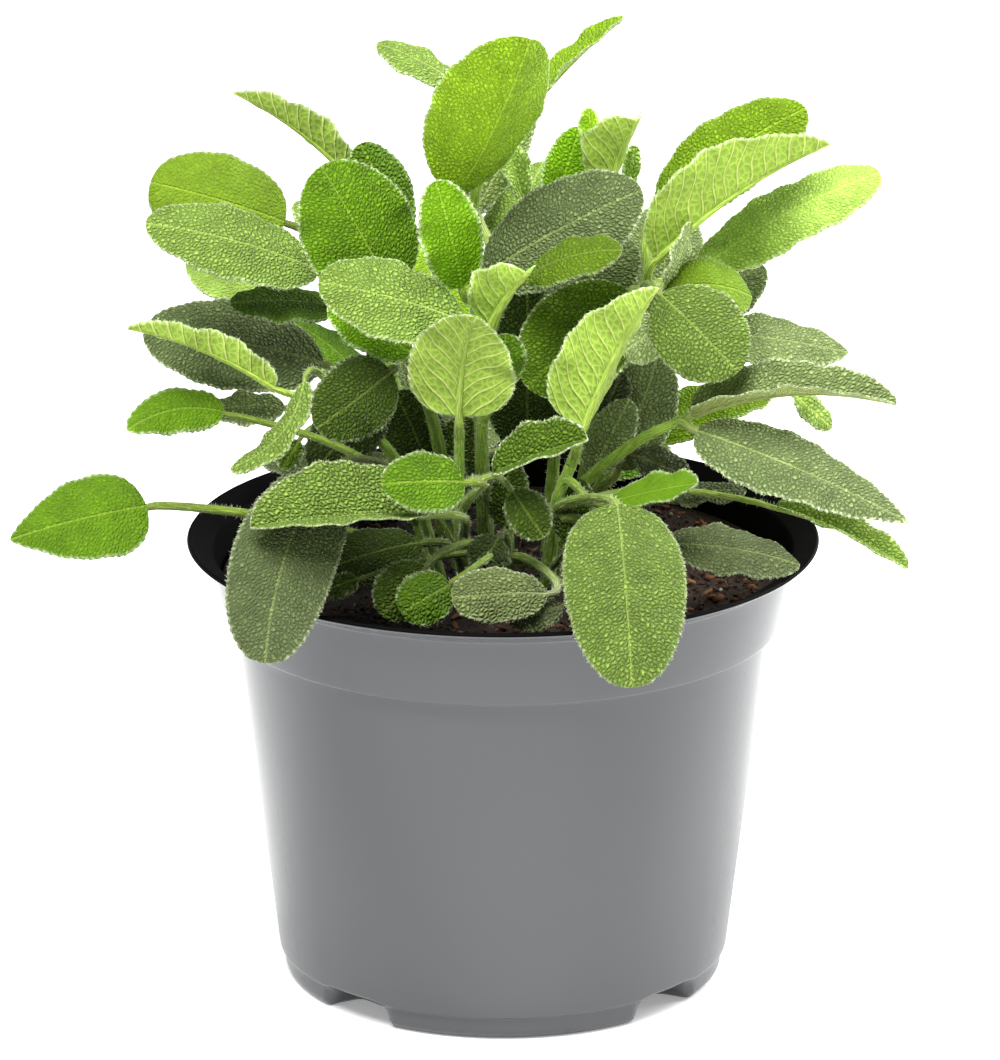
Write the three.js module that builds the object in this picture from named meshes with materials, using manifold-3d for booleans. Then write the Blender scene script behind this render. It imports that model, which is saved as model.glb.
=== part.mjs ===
// A potted sage: a round nursery pot with a flared lip, the soil in it, and a clump of leafy stems.
// Millimetres, +Z up. The origin is the middle of the pot's underside, and the front is towards -Y.
import * as THREE from "three";
import { mergeVertices } from "three/addons/utils/BufferGeometryUtils.js";
import Module from "manifold-3d";

const wasm = await Module();
wasm.setup();

// The pot
const POT_HEIGHT = 94;
const LIP_RADIUS = 65;
const COLLAR_TOP_RADIUS = 60.8;
const COLLAR_FOOT_RADIUS = 57.2;
const COLLAR_DEPTH = 18.3;
const BODY_TOP_RADIUS = 55.1;
const BODY_FOOT_RADIUS = 46.6;
const FOOT_HEIGHT = 4.8;
const FOOT_RADIUS = 45.6;
const WALL = 1;
const POT_SIDES = 40;
// The foot ring is broken by four drain notches, whose sides slope.
const NOTCH_COUNT = 4;
const FIRST_NOTCH_DEG = 48;
const NOTCH_FULL_DEG = 5;
const NOTCH_EDGE_DEG = 12;
const NOTCH_DEPTH = 9;
const DRAIN_HOLE = 5;

// The soil
const SEAT_GAP = 0.3;
const SOIL_BELOW_RIM = 8;
const SOIL_UNEVEN = 1.1;
const SOIL_RINGS = [55, 43, 30, 16, 0];
const STEM_DEPTH_IN_SOIL = 16;
const HOLE_SIDES = 8;

// The plant is laid out as it looks to an eye at this distance from the middle of the rim.
const EYE_DISTANCE = 1500;
const EYE_PITCH = THREE.MathUtils.degToRad(17.9);

// The leaves
const BLADE_THICKNESS = 0.8;
const RIB_KEEL = 0.5;
const BLADE_STATIONS = 7;
const SHORT_BLADE_STATIONS = 5;
const SHORT_BLADE = 36;
const BLADE_COLUMNS = [-1, -0.5, 0, 0.5, 1];
const NARROW_COLUMNS = [-1, 0, 1];
const NARROW_BLADE = 14.1;
const WAVES_PER_LEAF = 2.3;
const STALK_RADIUS = 0.9;
const STALK_SPREAD = 1.35;
const STALK_STEPS = 3;
const STEM_SIDES = 4;
const STEM_STEPS = 6;
const STEM_TAPER = 0.35;

const rimMiddle = new THREE.Vector3(0, 0, POT_HEIGHT);
const eyeUp = new THREE.Vector3(0, Math.sin(EYE_PITCH), Math.cos(EYE_PITCH));
const towardsEye = new THREE.Vector3(0, -Math.cos(EYE_PITCH), Math.sin(EYE_PITCH));
const eye = rimMiddle.clone().addScaledVector(towardsEye, EYE_DISTANCE);

// The place that looks to be right and up of the rim's middle, on the plane that is back behind the axis.
function seen([right, up, back]) {
  const aim = rimMiddle.clone().addScaledVector(eyeUp, up).add(new THREE.Vector3(right, 0, 0));
  const line = aim.sub(eye);
  return eye.clone().addScaledVector(line, (back - eye.y) / line.y);
}

// A leaf's row: name, share of the stem's length where its stalk starts, blade foot, blade tip, width.
// face turns the blade round its rib: 0 shows its upper side to the eye, 180 its underside.
// arch and sweep bow the rib towards the upper side and sideways, as shares of the length.
// cup curls the halves up from rib to edge and fold creases them at the rib, in degrees.
// heel and point are low for a blunt end and high for a narrow one. wave is the edge's rise and fall.
// bend is how far the stalk follows its stem, and the blade's rib, as a share of the way between them.
const LEAF_SHAPE = {
  face: 0,
  arch: 0.06,
  sweep: 0,
  cup: -14,
  fold: 0,
  heel: 0.5,
  point: 0.5,
  wave: 0.5,
  bend: 0.4,
};

function leaf(name, from, foot, tip, width, shape = {}) {
  return { name, from, foot: seen(foot), tip: seen(tip), width, facing: towardsEye, ...LEAF_SHAPE, ...shape };
}

function stem(soil, through, radius, leaves) {
  return { soil, through, radius, leaves };
}

// Each stem: where it leaves the soil (X, Y), the places it rises through, its thickness and its leaves.
const STEMS = {
  stem_tall: stem([-3, 3], [[-5, 30, 2], [-6, 66, 0]].map(seen), 1.8, [
    leaf("crown_broad", 1, [-9.9, 69, -6], [5.6, 101.6, -14], 28, { face: 32, fold: -22, cup: -16 }),
    leaf("crown_right", 1, [2.5, 84, 5], [25, 106, 10], 15, { face: -75, arch: 0.04, fold: 12, cup: 0 }),
    leaf("crown_left", 1, [-9, 92, 6], [-26, 100.5, 8], 13, { face: 58 }),
    leaf("crown_back", 0.93, [-5.5, 67, 11], [6, 88.5, 16], 8, { face: 20 }),
    leaf("crown_mid", 0.7, [-8.5, 50.5, -14], [-14, 72.5, -18], 13, { face: 14, cup: 10 }),
    leaf("centre_grey", 0.72, [-4, 53, -4], [28.5, 70.5, -8], 22, { face: -24 }),
  ]),
  stem_back_right: stem([9, 8], [[12, 30, 12], [18, 62, 14]].map(seen), 1.6, [
    leaf("top_folded", 0.95, [4, 69, 9], [-0.4, 81, 8], 7, { face: 30, fold: 25 }),
    leaf("top_dark", 1, [10.5, 66, 22], [16, 83.5, 26], 10, { face: -15 }),
    leaf("top_small", 1, [18, 78, 20], [17.5, 87.5, 22], 5, { face: 20 }),
    leaf("top_pale", 1, [22, 71.5, 10], [27.5, 85, 4], 16, { face: -133, fold: 35, cup: 0 }),
    leaf("top_sliver", 1, [25.5, 70.5, 16], [27, 80, 18], 4, { face: 20 }),
    leaf("centre_shadow", 0.5, [8, 44, 9], [27.5, 59, 10], 18, { face: -30 }),
    leaf("centre_back", 0.3, [5, 17, 10], [5, 51, 12], 19, { heel: 0.4, point: 0.4 }),
  ]),
  stem_right: stem([13, 2], [[20, 25, 4], [29, 50, 4]].map(seen), 1.8, [
    leaf("right_high", 1, [32, 67, 18], [62.3, 87.3, 22], 19, { face: -28, sweep: -0.01 }),
    leaf("right_under", 1, [31.5, 56.5, 2], [67.5, 80, -4], 23, {
      face: -122,
      fold: 34,
      cup: 0,
      point: 0.75,
    }),
    leaf("right_long", 0.95, [40, 54, 20], [77.5, 74, 24], 17, { face: -42, heel: 0.4, point: 0.4 }),
    leaf("right_thin", 1, [33.5, 51, -1], [38.3, 64, 0], 9, { face: 70 }),
    leaf("right_bright", 0.98, [33.5, 50, -1], [51, 48.5, 3], 15, { face: -35, arch: 0.16 }),
    leaf("right_round", 0.95, [32.5, 49, -7], [48.3, 33, -16], 19.5, { face: -12 }),
    leaf("right_round_low", 0.9, [32, 43, -8], [24.5, 37, -14], 11, { face: -20 }),
    leaf("right_grey", 0.85, [42, 41.5, 4], [71, 37, 6], 15, { face: -46, arch: 0.03, point: 0.65 }),
    leaf("dark_long", 0.2, [24, 13, 0], [32, 37, 2], 15, { face: 10 }),
    leaf("dark_mid", 0.15, [18, 12, -3], [26, 27.5, -4], 9.5, { face: 6 }),
    leaf("dark_small", 0.35, [20.5, 24, -3], [24.5, 33, -3], 7),
    leaf("dark_low", 0.2, [27, 16, -2], [38.5, 11, -2], 8, { face: -20 }),
    leaf("centre_bumpy", 0.9, [26, 49.5, -2], [5, 30, -11], 22, { face: 8, arch: 0.08 }),
  ]),
  stem_right_low: stem([10, -5], [[15, 8, -8], [28, 19, -10], [37.5, 23.5, -10]].map(seen), 1.7, [
    leaf("right_arch", 1, [39, 24.5, -11], [81, 26.3, -20], 15, {
      face: -62,
      fold: 35,
      cup: 0,
      arch: 0.09,
      heel: 0.3,
    }),
    leaf("right_arch_low", 0.97, [60, 28.3, 0], [67.5, 21.5, 2], 5.5, { face: -20 }),
    leaf("right_droop", 0.95, [40, 21, -14], [83.5, 2, -30], 17, {
      face: -36,
      arch: 0.04,
      heel: 0.42,
      point: 0.85,
    }),
  ]),
  stem_right_front: stem([9, -12], [[11, 6, -16], [14, 14, -18]].map(seen), 1.9, [
    leaf("centre_pale", 1, [16.5, 22, -25], [32, 50.5, -31], 21, {
      face: -140,
      fold: 42,
      cup: 0,
      heel: 0.32,
      point: 0.8,
    }),
    leaf("front_big", 0.6, [23.5, 5.8, -44], [26.5, -31.8, -76], 24.5, {
      face: -4,
      arch: 0.1,
      heel: 0.38,
      point: 0.45,
      bend: 0.12,
    }),
    leaf("front_bright", 0.8, [21.5, 6, -30], [40, 10, -40], 12, { face: -60, arch: 0.02, cup: 12 }),
    leaf("right_hung", 0.3, [56, 5.5, -8], [83.3, -7.5, -18], 9, { face: -50, fold: 30, cup: 0 }),
    leaf("right_behind", 0.3, [33, 7, -2], [50, 8.5, -2], 9, { face: -60 }),
    leaf("right_inside", 0.4, [33.5, -2.2, -30], [61, -6.8, -27], 15, { face: -50, point: 0.6 }),
  ]),
  stem_centre: stem([-3, -9], [[-4.5, 15, -12], [-3, 40, -20]].map(seen), 1.7, [
    leaf("left_front", 1, [-8, 43.5, -20], [-38, 51.5, -26], 20, { face: 36, arch: 0.05 }),
    leaf("centre_under", 1, [-3, 43, -23], [4.8, 53.5, -30], 15, { face: -133, fold: 35, cup: 0 }),
    leaf("centre_mid", 0.85, [4.5, 52.5, -16], [24.5, 58, -22], 14, { face: -52, arch: 0.1 }),
    leaf("centre_leafy", 0.6, [0, 30, -22], [0.5, 41, -24], 9, { face: 10 }),
    leaf("centre_front", 0.3, [-2, 12.2, -34], [17.5, 19.2, -42], 13.5, {
      face: -47,
      fold: 33,
      cup: 0,
      arch: 0.04,
    }),
    leaf("centre_small", 0.1, [2, 8.5, -34], [8.5, -1, -42], 9),
  ]),
  stem_left_front: stem([-8, -12], [[-9, 5, -20], [-9, 20, -27]].map(seen), 1.7, [
    leaf("pale_front", 1, [-9, 24, -30], [-5.5, 44.5, -36], 22, {
      face: 172,
      cup: -8,
      arch: 0.08,
      sweep: 0.05,
      heel: 0.38,
      point: 0.6,
    }),
    leaf("left_light", 0.15, [-16, 4, -40], [-52, 1, -52], 23, {
      face: 50,
      fold: 33,
      cup: 0,
      arch: 0.03,
      point: 0.6,
    }),
    leaf("front_light", 0.4, [-8, 10.5, -42], [-25, 10, -49], 13, { face: 18, heel: 0.4 }),
    leaf("left_hang", 0.1, [-35, 13, -30], [-49, -26.8, -67], 21, {
      sweep: 0.065,
      arch: 0.08,
      heel: 0.45,
      point: 0.42,
    }),
    leaf("pot_left", 0.05, [-17, -2, -26], [-37, -8, -34], 15, { face: 40 }),
  ]),
  stem_left: stem([-9, 2], [[-15, 25, 2], [-24, 46, 0]].map(seen), 1.8, [
    leaf("left_round", 1, [-23, 49.5, -10], [-37.5, 75.5, -12], 24, { face: 12, heel: 0.42 }),
    leaf("left_tucked", 1, [-20.5, 61, 2], [-29.5, 80, 4], 13, { face: 22 }),
    leaf("left_pale", 1, [-31, 73, 8], [-55.5, 90.5, 8], 11.5, { face: 120, fold: 30, cup: 0, point: 0.75 }),
    leaf("left_top_back", 0.95, [-45, 64, 18], [-72.5, 72, 20], 21, { face: 18, heel: 0.4, point: 0.4 }),
    leaf("left_top", 0.95, [-38, 54, -6], [-73.5, 63.5, -14], 19, { face: 40, arch: 0.06 }),
    leaf("left_gap", 0.9, [-49, 50, 16], [-65, 56.5, 18], 15, { face: 40 }),
    leaf("left_green", 0.85, [-34, 46.5, -2], [-56, 47, -8], 14, { face: 55 }),
    leaf("left_inner", 0.8, [-19, 37, -12], [-36, 47, -14], 12, { face: 30 }),
    leaf("left_inner_back", 0.2, [-14, 11, 4], [-22, 29, 6], 13, { heel: 0.4, point: 0.4 }),
  ]),
  stem_left_mid: stem([-13, -5], [[-20, 12, -8], [-32, 26, -10]].map(seen), 1.6, [
    leaf("left_dark", 0.9, [-37, 35, 0], [-74, 41, -4], 22, { face: 34 }),
    leaf("left_twisted", 1, [-47, 30, -16], [-77.5, 42, -22], 10, {
      face: 120,
      fold: 30,
      cup: 0,
      heel: 0.4,
      point: 0.6,
    }),
    leaf("left_disc", 0.9, [-23, 33, -22], [-38.5, 21.5, -36], 16, { face: -8, heel: 0.42 }),
    leaf("left_disc_low", 0.8, [-25, 29, -8], [-39, 12.5, -9], 13.5),
    leaf("left_curl", 1, [-41, 31, -24], [-56, 13, -32], 9, { face: 55, arch: -0.02, sweep: -0.22 }),
    leaf("left_behind", 0.95, [-45, 26, -2], [-60, 25, -4], 11, { face: 50 }),
    leaf("left_tiny", 0.8, [-42, 19, -6], [-45.5, 13, -8], 5),
  ]),
  stem_left_low: stem([-14, -11], [[-18, 2, -16]].map(seen), 1.3, [
    leaf("left_low", 1, [-57.5, 24.8, -14], [-77.3, 21, -20], 11, {
      face: 30,
      sweep: 0.1,
      heel: 0.4,
      point: 0.6,
    }),
    leaf("far_left", 0.3, [-73.5, 5.5, -18], [-101.5, -1.5, -26], 19, {
      face: 22,
      heel: 0.4,
      point: 0.85,
      bend: 0.15,
    }),
  ]),
  stem_front_low: stem([1, -22], [[1, -7, -26]].map(seen), 1.4, [
    leaf("pot_small", 0.6, [-30, -9.5, -42], [-37.5, -12.5, -44], 6, { face: 30 }),
    leaf("pot_dark", 0.8, [-16, -7, -44], [-25, -17, -50], 12),
    leaf("pot_round", 0.9, [-11, -10.5, -48], [-21, -16.5, -53], 11, { face: 5, heel: 0.4, point: 0.4 }),
    leaf("pot_grey", 1, [9, -12.5, -48], [-10.5, -13.5, -54], 12, { face: 24, point: 0.4 }),
    leaf("pot_under", 0.8, [12, -15, -46], [1.5, -18.5, -50], 8, { face: 30 }),
    leaf("pot_shade", 0.6, [-1, -1, -34], [-5, -8, -40], 9),
  ]),
};

// Behind, leaves fan out up three more stems by rule, turning left and right of each stem's way out.
const BACK_STEMS = {
  stem_back_left: { soil: [-11, 11], through: [[-20, 20, 18], [-25, 27, 33]], outward: 120 },
  stem_back_middle: { soil: [1, 14], through: [[0, 28, 28], [-2, 35, 49]], outward: 94 },
  stem_back_side: { soil: [14, 15], through: [[24, 21, 12], [32, 26, 28]], outward: 56 },
};
const BACK_RADIUS = 1.6;
const BACK_LEAVES = 5;
const BACK_FIRST = 0.3;
const BACK_TURN = 26;
const BACK_TURN_SPREAD = 3;
const BACK_LOWEST_RISE = -1;
const BACK_RISE = 54;
const BACK_STALK = 10;
const BACK_LENGTH = 33;
const BACK_WIDTH = 20;
const BACK_SHORTENING = 0.055;
const BACK_SIZE_SPREAD = 0.06;
const BACK_ARCH = 0.1;
const BACK_FACE_SPREAD = 10;
const BACK_FIRST_SEED = 11;

// Even draws from -1 to 1, the same each time for the same seed.
const DRAW_FACTOR = 16807;
const DRAW_RANGE = 2147483647;

function draws(seed) {
  let state = seed;
  return () => {
    state = (state * DRAW_FACTOR) % DRAW_RANGE;
    return (2 * state) / DRAW_RANGE - 1;
  };
}

const aboveRim = ([x, y, height]) => new THREE.Vector3(x, y, POT_HEIGHT + height);

function backStem(name, { soil, through, outward }, seed) {
  const made = stem(soil, through.map(aboveRim), BACK_RADIUS, []);
  const { above } = stemCurveOf(made);
  const draw = draws(seed);
  for (let k = 0; k < BACK_LEAVES; k++) {
    const share = k / (BACK_LEAVES - 1);
    const from = BACK_FIRST + (1 - BACK_FIRST) * share;
    const turn = (k % 2 === 0 ? BACK_TURN : -BACK_TURN) + BACK_TURN_SPREAD * draw();
    const heading = THREE.MathUtils.degToRad(outward + turn);
    const rise = THREE.MathUtils.degToRad(BACK_LOWEST_RISE + BACK_RISE * share + BACK_TURN_SPREAD * draw());
    const flat = new THREE.Vector3(Math.cos(heading), Math.sin(heading), 0);
    const direction = flat.multiplyScalar(Math.cos(rise)).setZ(Math.sin(rise));
    const size = 1 - BACK_SHORTENING * k + BACK_SIZE_SPREAD * draw();
    const foot = above.getPointAt(from).addScaledVector(direction, BACK_STALK);
    const tip = foot.clone().addScaledVector(direction, BACK_LENGTH * size);
    const row = { name: `${name}_leaf_${k}`, from, foot, tip, width: BACK_WIDTH * size };
    const face = BACK_FACE_SPREAD * draw();
    made.leaves.push({ ...row, facing: new THREE.Vector3(0, 0, 1), ...LEAF_SHAPE, arch: BACK_ARCH, face });
  }
  return made;
}

Object.entries(BACK_STEMS).forEach(([name, plan], i) => {
  STEMS[name] = backStem(name, plan, BACK_FIRST_SEED + i);
});

// Closed triangle mesh to solid
function solid(positions, triangles) {
  const geometry = new THREE.BufferGeometry();
  geometry.setAttribute("position", new THREE.Float32BufferAttribute(positions, 3));
  geometry.setIndex(triangles);
  return solidOf(geometry);
}

function solidOf(geometry) {
  const bare = geometry.clone();
  bare.deleteAttribute("normal");
  bare.deleteAttribute("uv");
  const merged = mergeVertices(bare, 1e-4);
  const vertProperties = merged.attributes.position.array;
  return new wasm.Manifold(new wasm.Mesh({ numProp: 3, vertProperties, triVerts: merged.index.array }));
}

function geometryOf(made) {
  const { vertProperties, triVerts } = made.getMesh();
  const geometry = new THREE.BufferGeometry();
  geometry.setAttribute("position", new THREE.BufferAttribute(vertProperties, 3));
  geometry.setIndex(new THREE.BufferAttribute(triVerts, 1));
  geometry.computeVertexNormals();
  return geometry;
}

// A rod of the given radius at each point, with flat ends.
function rod(points, radii, sides) {
  const positions = [];
  const triangles = [];
  let side = new THREE.Vector3(1, 0, 0);
  points.forEach((point, i) => {
    const before = points[Math.max(i - 1, 0)];
    const after = points[Math.min(i + 1, points.length - 1)];
    const along = after.clone().sub(before).normalize();
    side = side.clone().addScaledVector(along, -side.dot(along));
    if (side.length() < 0.1) side.set(0, 1, 0).addScaledVector(along, -along.y);
    side.normalize();
    const up = along.clone().cross(side);
    for (let k = 0; k < sides; k++) {
      const turn = (2 * Math.PI * (k + 0.5)) / sides;
      const corner = point.clone().addScaledVector(side, radii[i] * Math.cos(turn));
      corner.addScaledVector(up, radii[i] * Math.sin(turn));
      positions.push(...corner.toArray());
    }
  });
  const last = (points.length - 1) * sides;
  for (let i = 0; i < last; i += sides) {
    for (let k = 0; k < sides; k++) {
      const next = (k + 1) % sides;
      triangles.push(i + k, i + next, i + sides + next, i + k, i + sides + next, i + sides + k);
    }
  }
  for (let k = 1; k < sides - 1; k++) {
    triangles.push(0, k + 1, k, last, last + k, last + k + 1);
  }
  return solid(positions, triangles);
}

// The blade's frame: rib line, side and upper direction at a share t of the length.
function bladeFrame(row) {
  const foot = row.foot;
  const axis = row.tip.clone().sub(foot);
  const length = axis.length();
  axis.normalize();
  const side = axis.clone().cross(row.facing).normalize();
  const upper = side.clone().cross(axis);
  const turn = THREE.MathUtils.degToRad(row.face);
  const flat = {
    n: upper.clone().multiplyScalar(Math.cos(turn)).addScaledVector(side, Math.sin(turn)),
    s: side.clone().multiplyScalar(Math.cos(turn)).addScaledVector(upper, -Math.sin(turn)),
  };
  const rib = (t) => {
    const bow = 4 * t * (1 - t) * length;
    const point = foot.clone().addScaledVector(axis, t * length);
    return point.addScaledVector(flat.n, row.arch * bow).addScaledVector(flat.s, row.sweep * bow);
  };
  const frame = (t) => {
    const along = axis.clone();
    along.addScaledVector(flat.n, 4 * row.arch * (1 - 2 * t));
    along.addScaledVector(flat.s, 4 * row.sweep * (1 - 2 * t)).normalize();
    const s = flat.s.clone();
    s.addScaledVector(along, -s.dot(along)).normalize();
    return { along, s, n: s.clone().cross(along) };
  };
  return { length, rib, frame };
}

// Half the blade's width at a share t of its length: t^heel (1 - t)^point, scaled to its widest.
function halfWidth(row, t) {
  const widest = row.heel / (row.heel + row.point);
  const most = widest ** row.heel * (1 - widest) ** row.point;
  return ((row.width / 2) * t ** row.heel * (1 - t) ** row.point) / most;
}

// The middle surface of a blade at share t along and u across, from -1 to 1.
function bladePoint(row, place, t, u) {
  const half = halfWidth(row, t) * Math.abs(u);
  const curl = THREE.MathUtils.degToRad(row.cup) * Math.abs(u);
  const crease = THREE.MathUtils.degToRad(row.fold) + curl / 2;
  const { s, n } = place.frame(t);
  const wave = row.wave * u * u * Math.sin(2 * Math.PI * WAVES_PER_LEAF * t + (u > 0 ? 0 : 2));
  const ends = 4 * t * (1 - t);
  const point = place.rib(t).addScaledVector(s, Math.sign(u) * half * Math.cos(crease));
  return point.addScaledVector(n, half * Math.sin(crease) + wave * ends);
}

// The stalk leaves the stem along it and reaches the blade in line with the rib. Its rings run from the
// stem to the blade's foot, each of a left, an upper, a right and a lower corner.
function stalkRings(row, place, stemCurve) {
  const start = stemCurve.getPointAt(row.from);
  const end = place.rib(0);
  const { along, s } = place.frame(0);
  const reach = start.distanceTo(end) * row.bend;
  const lead = start.clone().addScaledVector(stemCurve.getTangentAt(row.from), reach);
  const arrive = end.clone().addScaledVector(along, -reach);
  const curve = new THREE.CubicBezierCurve3(start, lead, arrive, end);
  const rings = [];
  const side = s.clone();
  for (let i = STALK_STEPS; i >= 0; i--) {
    const t = i / STALK_STEPS;
    const centre = curve.getPoint(t);
    const onward = curve.getTangent(t);
    side.addScaledVector(onward, -side.dot(onward)).normalize();
    const up = side.clone().cross(onward);
    const radius = STALK_RADIUS * THREE.MathUtils.lerp(STALK_SPREAD, 1, t);
    const corners = [side.clone().negate(), up, side.clone(), up.clone().negate()];
    rings.unshift(corners.map((way) => centre.clone().addScaledVector(way, radius)));
  }
  return rings;
}

// A leaf in one closed skin: the stalk's rings, then the blade's stations, each with an upper and a
// lower row of points, then the tip. A keel under the rib stiffens the blade.
function leafSolid(row, stemCurve) {
  const place = bladeFrame(row);
  const steps = place.length < SHORT_BLADE ? SHORT_BLADE_STATIONS : BLADE_STATIONS;
  const columns = row.width < NARROW_BLADE ? NARROW_COLUMNS : BLADE_COLUMNS;
  const far = columns.length - 1;
  const points = [];
  const put = (point) => points.push(point) - 1;
  const triangles = [];
  const rings = stalkRings(row, place, stemCurve).map((ring) => ring.map(put));
  const [first, last] = [rings[0], rings[rings.length - 1]];
  triangles.push(first[0], first[3], first[2], first[0], first[2], first[1]);
  for (let i = 0; i < rings.length - 1; i++) {
    for (let k = 0; k < 4; k++) {
      const next = (k + 1) % 4;
      triangles.push(rings[i][k], rings[i][next], rings[i + 1][next]);
      triangles.push(rings[i][k], rings[i + 1][next], rings[i + 1][k]);
    }
  }
  const upper = [];
  const lower = [];
  for (let i = 1; i < steps; i++) {
    const t = (1 - Math.cos((Math.PI * i) / steps)) / 2;
    const { along } = place.frame(t);
    const line = columns.map((u) => bladePoint(row, place, t, u));
    const normals = line.map((_, k) => {
      const across = line[Math.min(k + 1, far)].clone().sub(line[Math.max(k - 1, 0)]);
      return across.cross(along).normalize();
    });
    const under = (k) => BLADE_THICKNESS / 2 + (columns[k] === 0 ? RIB_KEEL : 0);
    upper.push(line.map((p, k) => put(p.clone().addScaledVector(normals[k], BLADE_THICKNESS / 2))));
    lower.push(line.map((p, k) => put(p.clone().addScaledVector(normals[k], -under(k)))));
  }
  const [left, top, right, bottom] = last;
  const [up1, low1] = [upper[0], lower[0]];
  triangles.push(left, top, up1[0], top, right, up1[far], right, low1[far], up1[far]);
  triangles.push(right, bottom, low1[far], bottom, left, low1[0], left, up1[0], low1[0]);
  for (let k = 0; k < far; k++) {
    triangles.push(top, up1[k + 1], up1[k], bottom, low1[k], low1[k + 1]);
  }
  for (let i = 0; i < upper.length - 1; i++) {
    const [a, b, c, d] = [upper[i], upper[i + 1], lower[i], lower[i + 1]];
    for (let k = 0; k < far; k++) {
      triangles.push(a[k], a[k + 1], b[k + 1], a[k], b[k + 1], b[k]);
      triangles.push(c[k], d[k + 1], c[k + 1], c[k], d[k], d[k + 1]);
    }
    triangles.push(a[0], b[0], d[0], a[0], d[0], c[0]);
    triangles.push(a[far], d[far], b[far], a[far], c[far], d[far]);
  }
  const [endUp, endLow] = [upper[upper.length - 1], lower[lower.length - 1]];
  const { n } = place.frame(1);
  const tipUp = put(place.rib(1).addScaledVector(n, BLADE_THICKNESS / 2));
  const tipLow = put(place.rib(1).addScaledVector(n, -BLADE_THICKNESS / 2));
  for (let k = 0; k < far; k++) {
    triangles.push(endUp[k], endUp[k + 1], tipUp, endLow[k], tipLow, endLow[k + 1]);
  }
  triangles.push(endUp[0], tipUp, tipLow, endUp[0], tipLow, endLow[0]);
  triangles.push(endUp[far], tipLow, tipUp, endUp[far], endLow[far], tipLow);
  return solid(points.flatMap((p) => p.toArray()), triangles);
}

// Where a stem's root ends, where it leaves the soil, and its curve from there.
function stemCurveOf(plan) {
  const [x, y] = plan.soil;
  const soilLevel = POT_HEIGHT - SOIL_BELOW_RIM;
  const ground = new THREE.Vector3(x, y, soilLevel);
  const root = new THREE.Vector3(x, y, soilLevel - STEM_DEPTH_IN_SOIL);
  const above = new THREE.CatmullRomCurve3([ground, ...plan.through], false, "centripetal");
  return { root, ground, above };
}

// A stem, then each leaf on it.
function leafyStem(plan) {
  const { root, ground, above } = stemCurveOf(plan);
  const points = [root, ground.clone().setZ(ground.z + 2), ...above.getPoints(STEM_STEPS).slice(1)];
  const taper = (i) => plan.radius * (1 - (STEM_TAPER * i) / points.length);
  const parts = [rod(points, points.map((_, i) => taper(i)), STEM_SIDES)];
  for (const row of plan.leaves) {
    parts.push(leafSolid(row, above));
  }
  return parts;
}

// The share by which the foot ring is cut away at an angle: 1 in a notch, 0 between notches.
function notchShare(angle) {
  const every = 360 / NOTCH_COUNT;
  const degrees = THREE.MathUtils.radToDeg(angle) - FIRST_NOTCH_DEG;
  const off = Math.abs(degrees - every * Math.round(degrees / every));
  return 1 - THREE.MathUtils.smoothstep(off, NOTCH_FULL_DEG, NOTCH_EDGE_DEG);
}

// A turned body whose profile is the plain one between notches and the notched one in them.
// Each profile point is [radius, height, radius in a notch, height in a notch].
function notchedTurning(profile, uneven = () => 0) {
  const plain = profile.map(([r, z]) => new THREE.Vector2(r, z));
  const geometry = new THREE.LatheGeometry(plain, POT_SIDES);
  const position = geometry.attributes.position;
  for (let v = 0; v < position.count; v++) {
    const row = Math.floor(v / profile.length) % POT_SIDES;
    const [r, z, notchR = r, notchZ = z] = profile[v % profile.length];
    const angle = (2 * Math.PI * row) / POT_SIDES;
    const share = notchShare(angle);
    const radius = THREE.MathUtils.lerp(r, notchR, share);
    const x = radius * Math.sin(angle);
    const y = -radius * Math.cos(angle);
    position.setXYZ(v, x, y, THREE.MathUtils.lerp(z, notchZ, share) + uneven(x, y, radius, z));
  }
  return solidOf(geometry);
}

const COLLAR_Z = POT_HEIGHT - COLLAR_DEPTH;
const NOTCH_ROOF = FOOT_HEIGHT + 0.6;
const NOTCH_RADIUS = FOOT_RADIUS - NOTCH_DEPTH;
const COLLAR_SLOPE = (COLLAR_TOP_RADIUS - COLLAR_FOOT_RADIUS) / COLLAR_DEPTH;

// From the underside's middle, out and up to the lip
const POT_OUTSIDE = [
  [0, 0],
  [NOTCH_RADIUS, 0],
  [FOOT_RADIUS - 1.4, 0, NOTCH_RADIUS + 0.6, NOTCH_ROOF - 0.8],
  [FOOT_RADIUS - 0.2, 1.2, NOTCH_RADIUS + 2, NOTCH_ROOF],
  [FOOT_RADIUS, FOOT_HEIGHT, BODY_FOOT_RADIUS - 0.8, NOTCH_ROOF],
  [BODY_FOOT_RADIUS, FOOT_HEIGHT + 0.4, BODY_FOOT_RADIUS, NOTCH_ROOF + 0.5],
  [BODY_TOP_RADIUS, COLLAR_Z],
  [COLLAR_FOOT_RADIUS, COLLAR_Z + 0.4],
  [COLLAR_TOP_RADIUS, POT_HEIGHT - 1.5],
  [LIP_RADIUS - 0.3, POT_HEIGHT - 1.1],
  [LIP_RADIUS, POT_HEIGHT - 0.5],
  [LIP_RADIUS - 0.5, POT_HEIGHT],
];

// From the floor's middle, out and up to the lip
const POT_INSIDE = [
  [0, WALL],
  [NOTCH_RADIUS - 3, WALL],
  [FOOT_RADIUS - WALL - 1.6, WALL, NOTCH_RADIUS - 1.2, NOTCH_ROOF],
  [FOOT_RADIUS - WALL - 0.5, WALL + 1, NOTCH_RADIUS + 0.4, NOTCH_ROOF + WALL],
  [BODY_FOOT_RADIUS - WALL, NOTCH_ROOF + 1.2 * WALL],
  [BODY_TOP_RADIUS - WALL, COLLAR_Z - 0.6],
  [COLLAR_FOOT_RADIUS - WALL, COLLAR_Z + 1],
  [COLLAR_TOP_RADIUS - WALL, POT_HEIGHT - 1.2],
  [COLLAR_TOP_RADIUS, POT_HEIGHT - 0.2],
];

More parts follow.
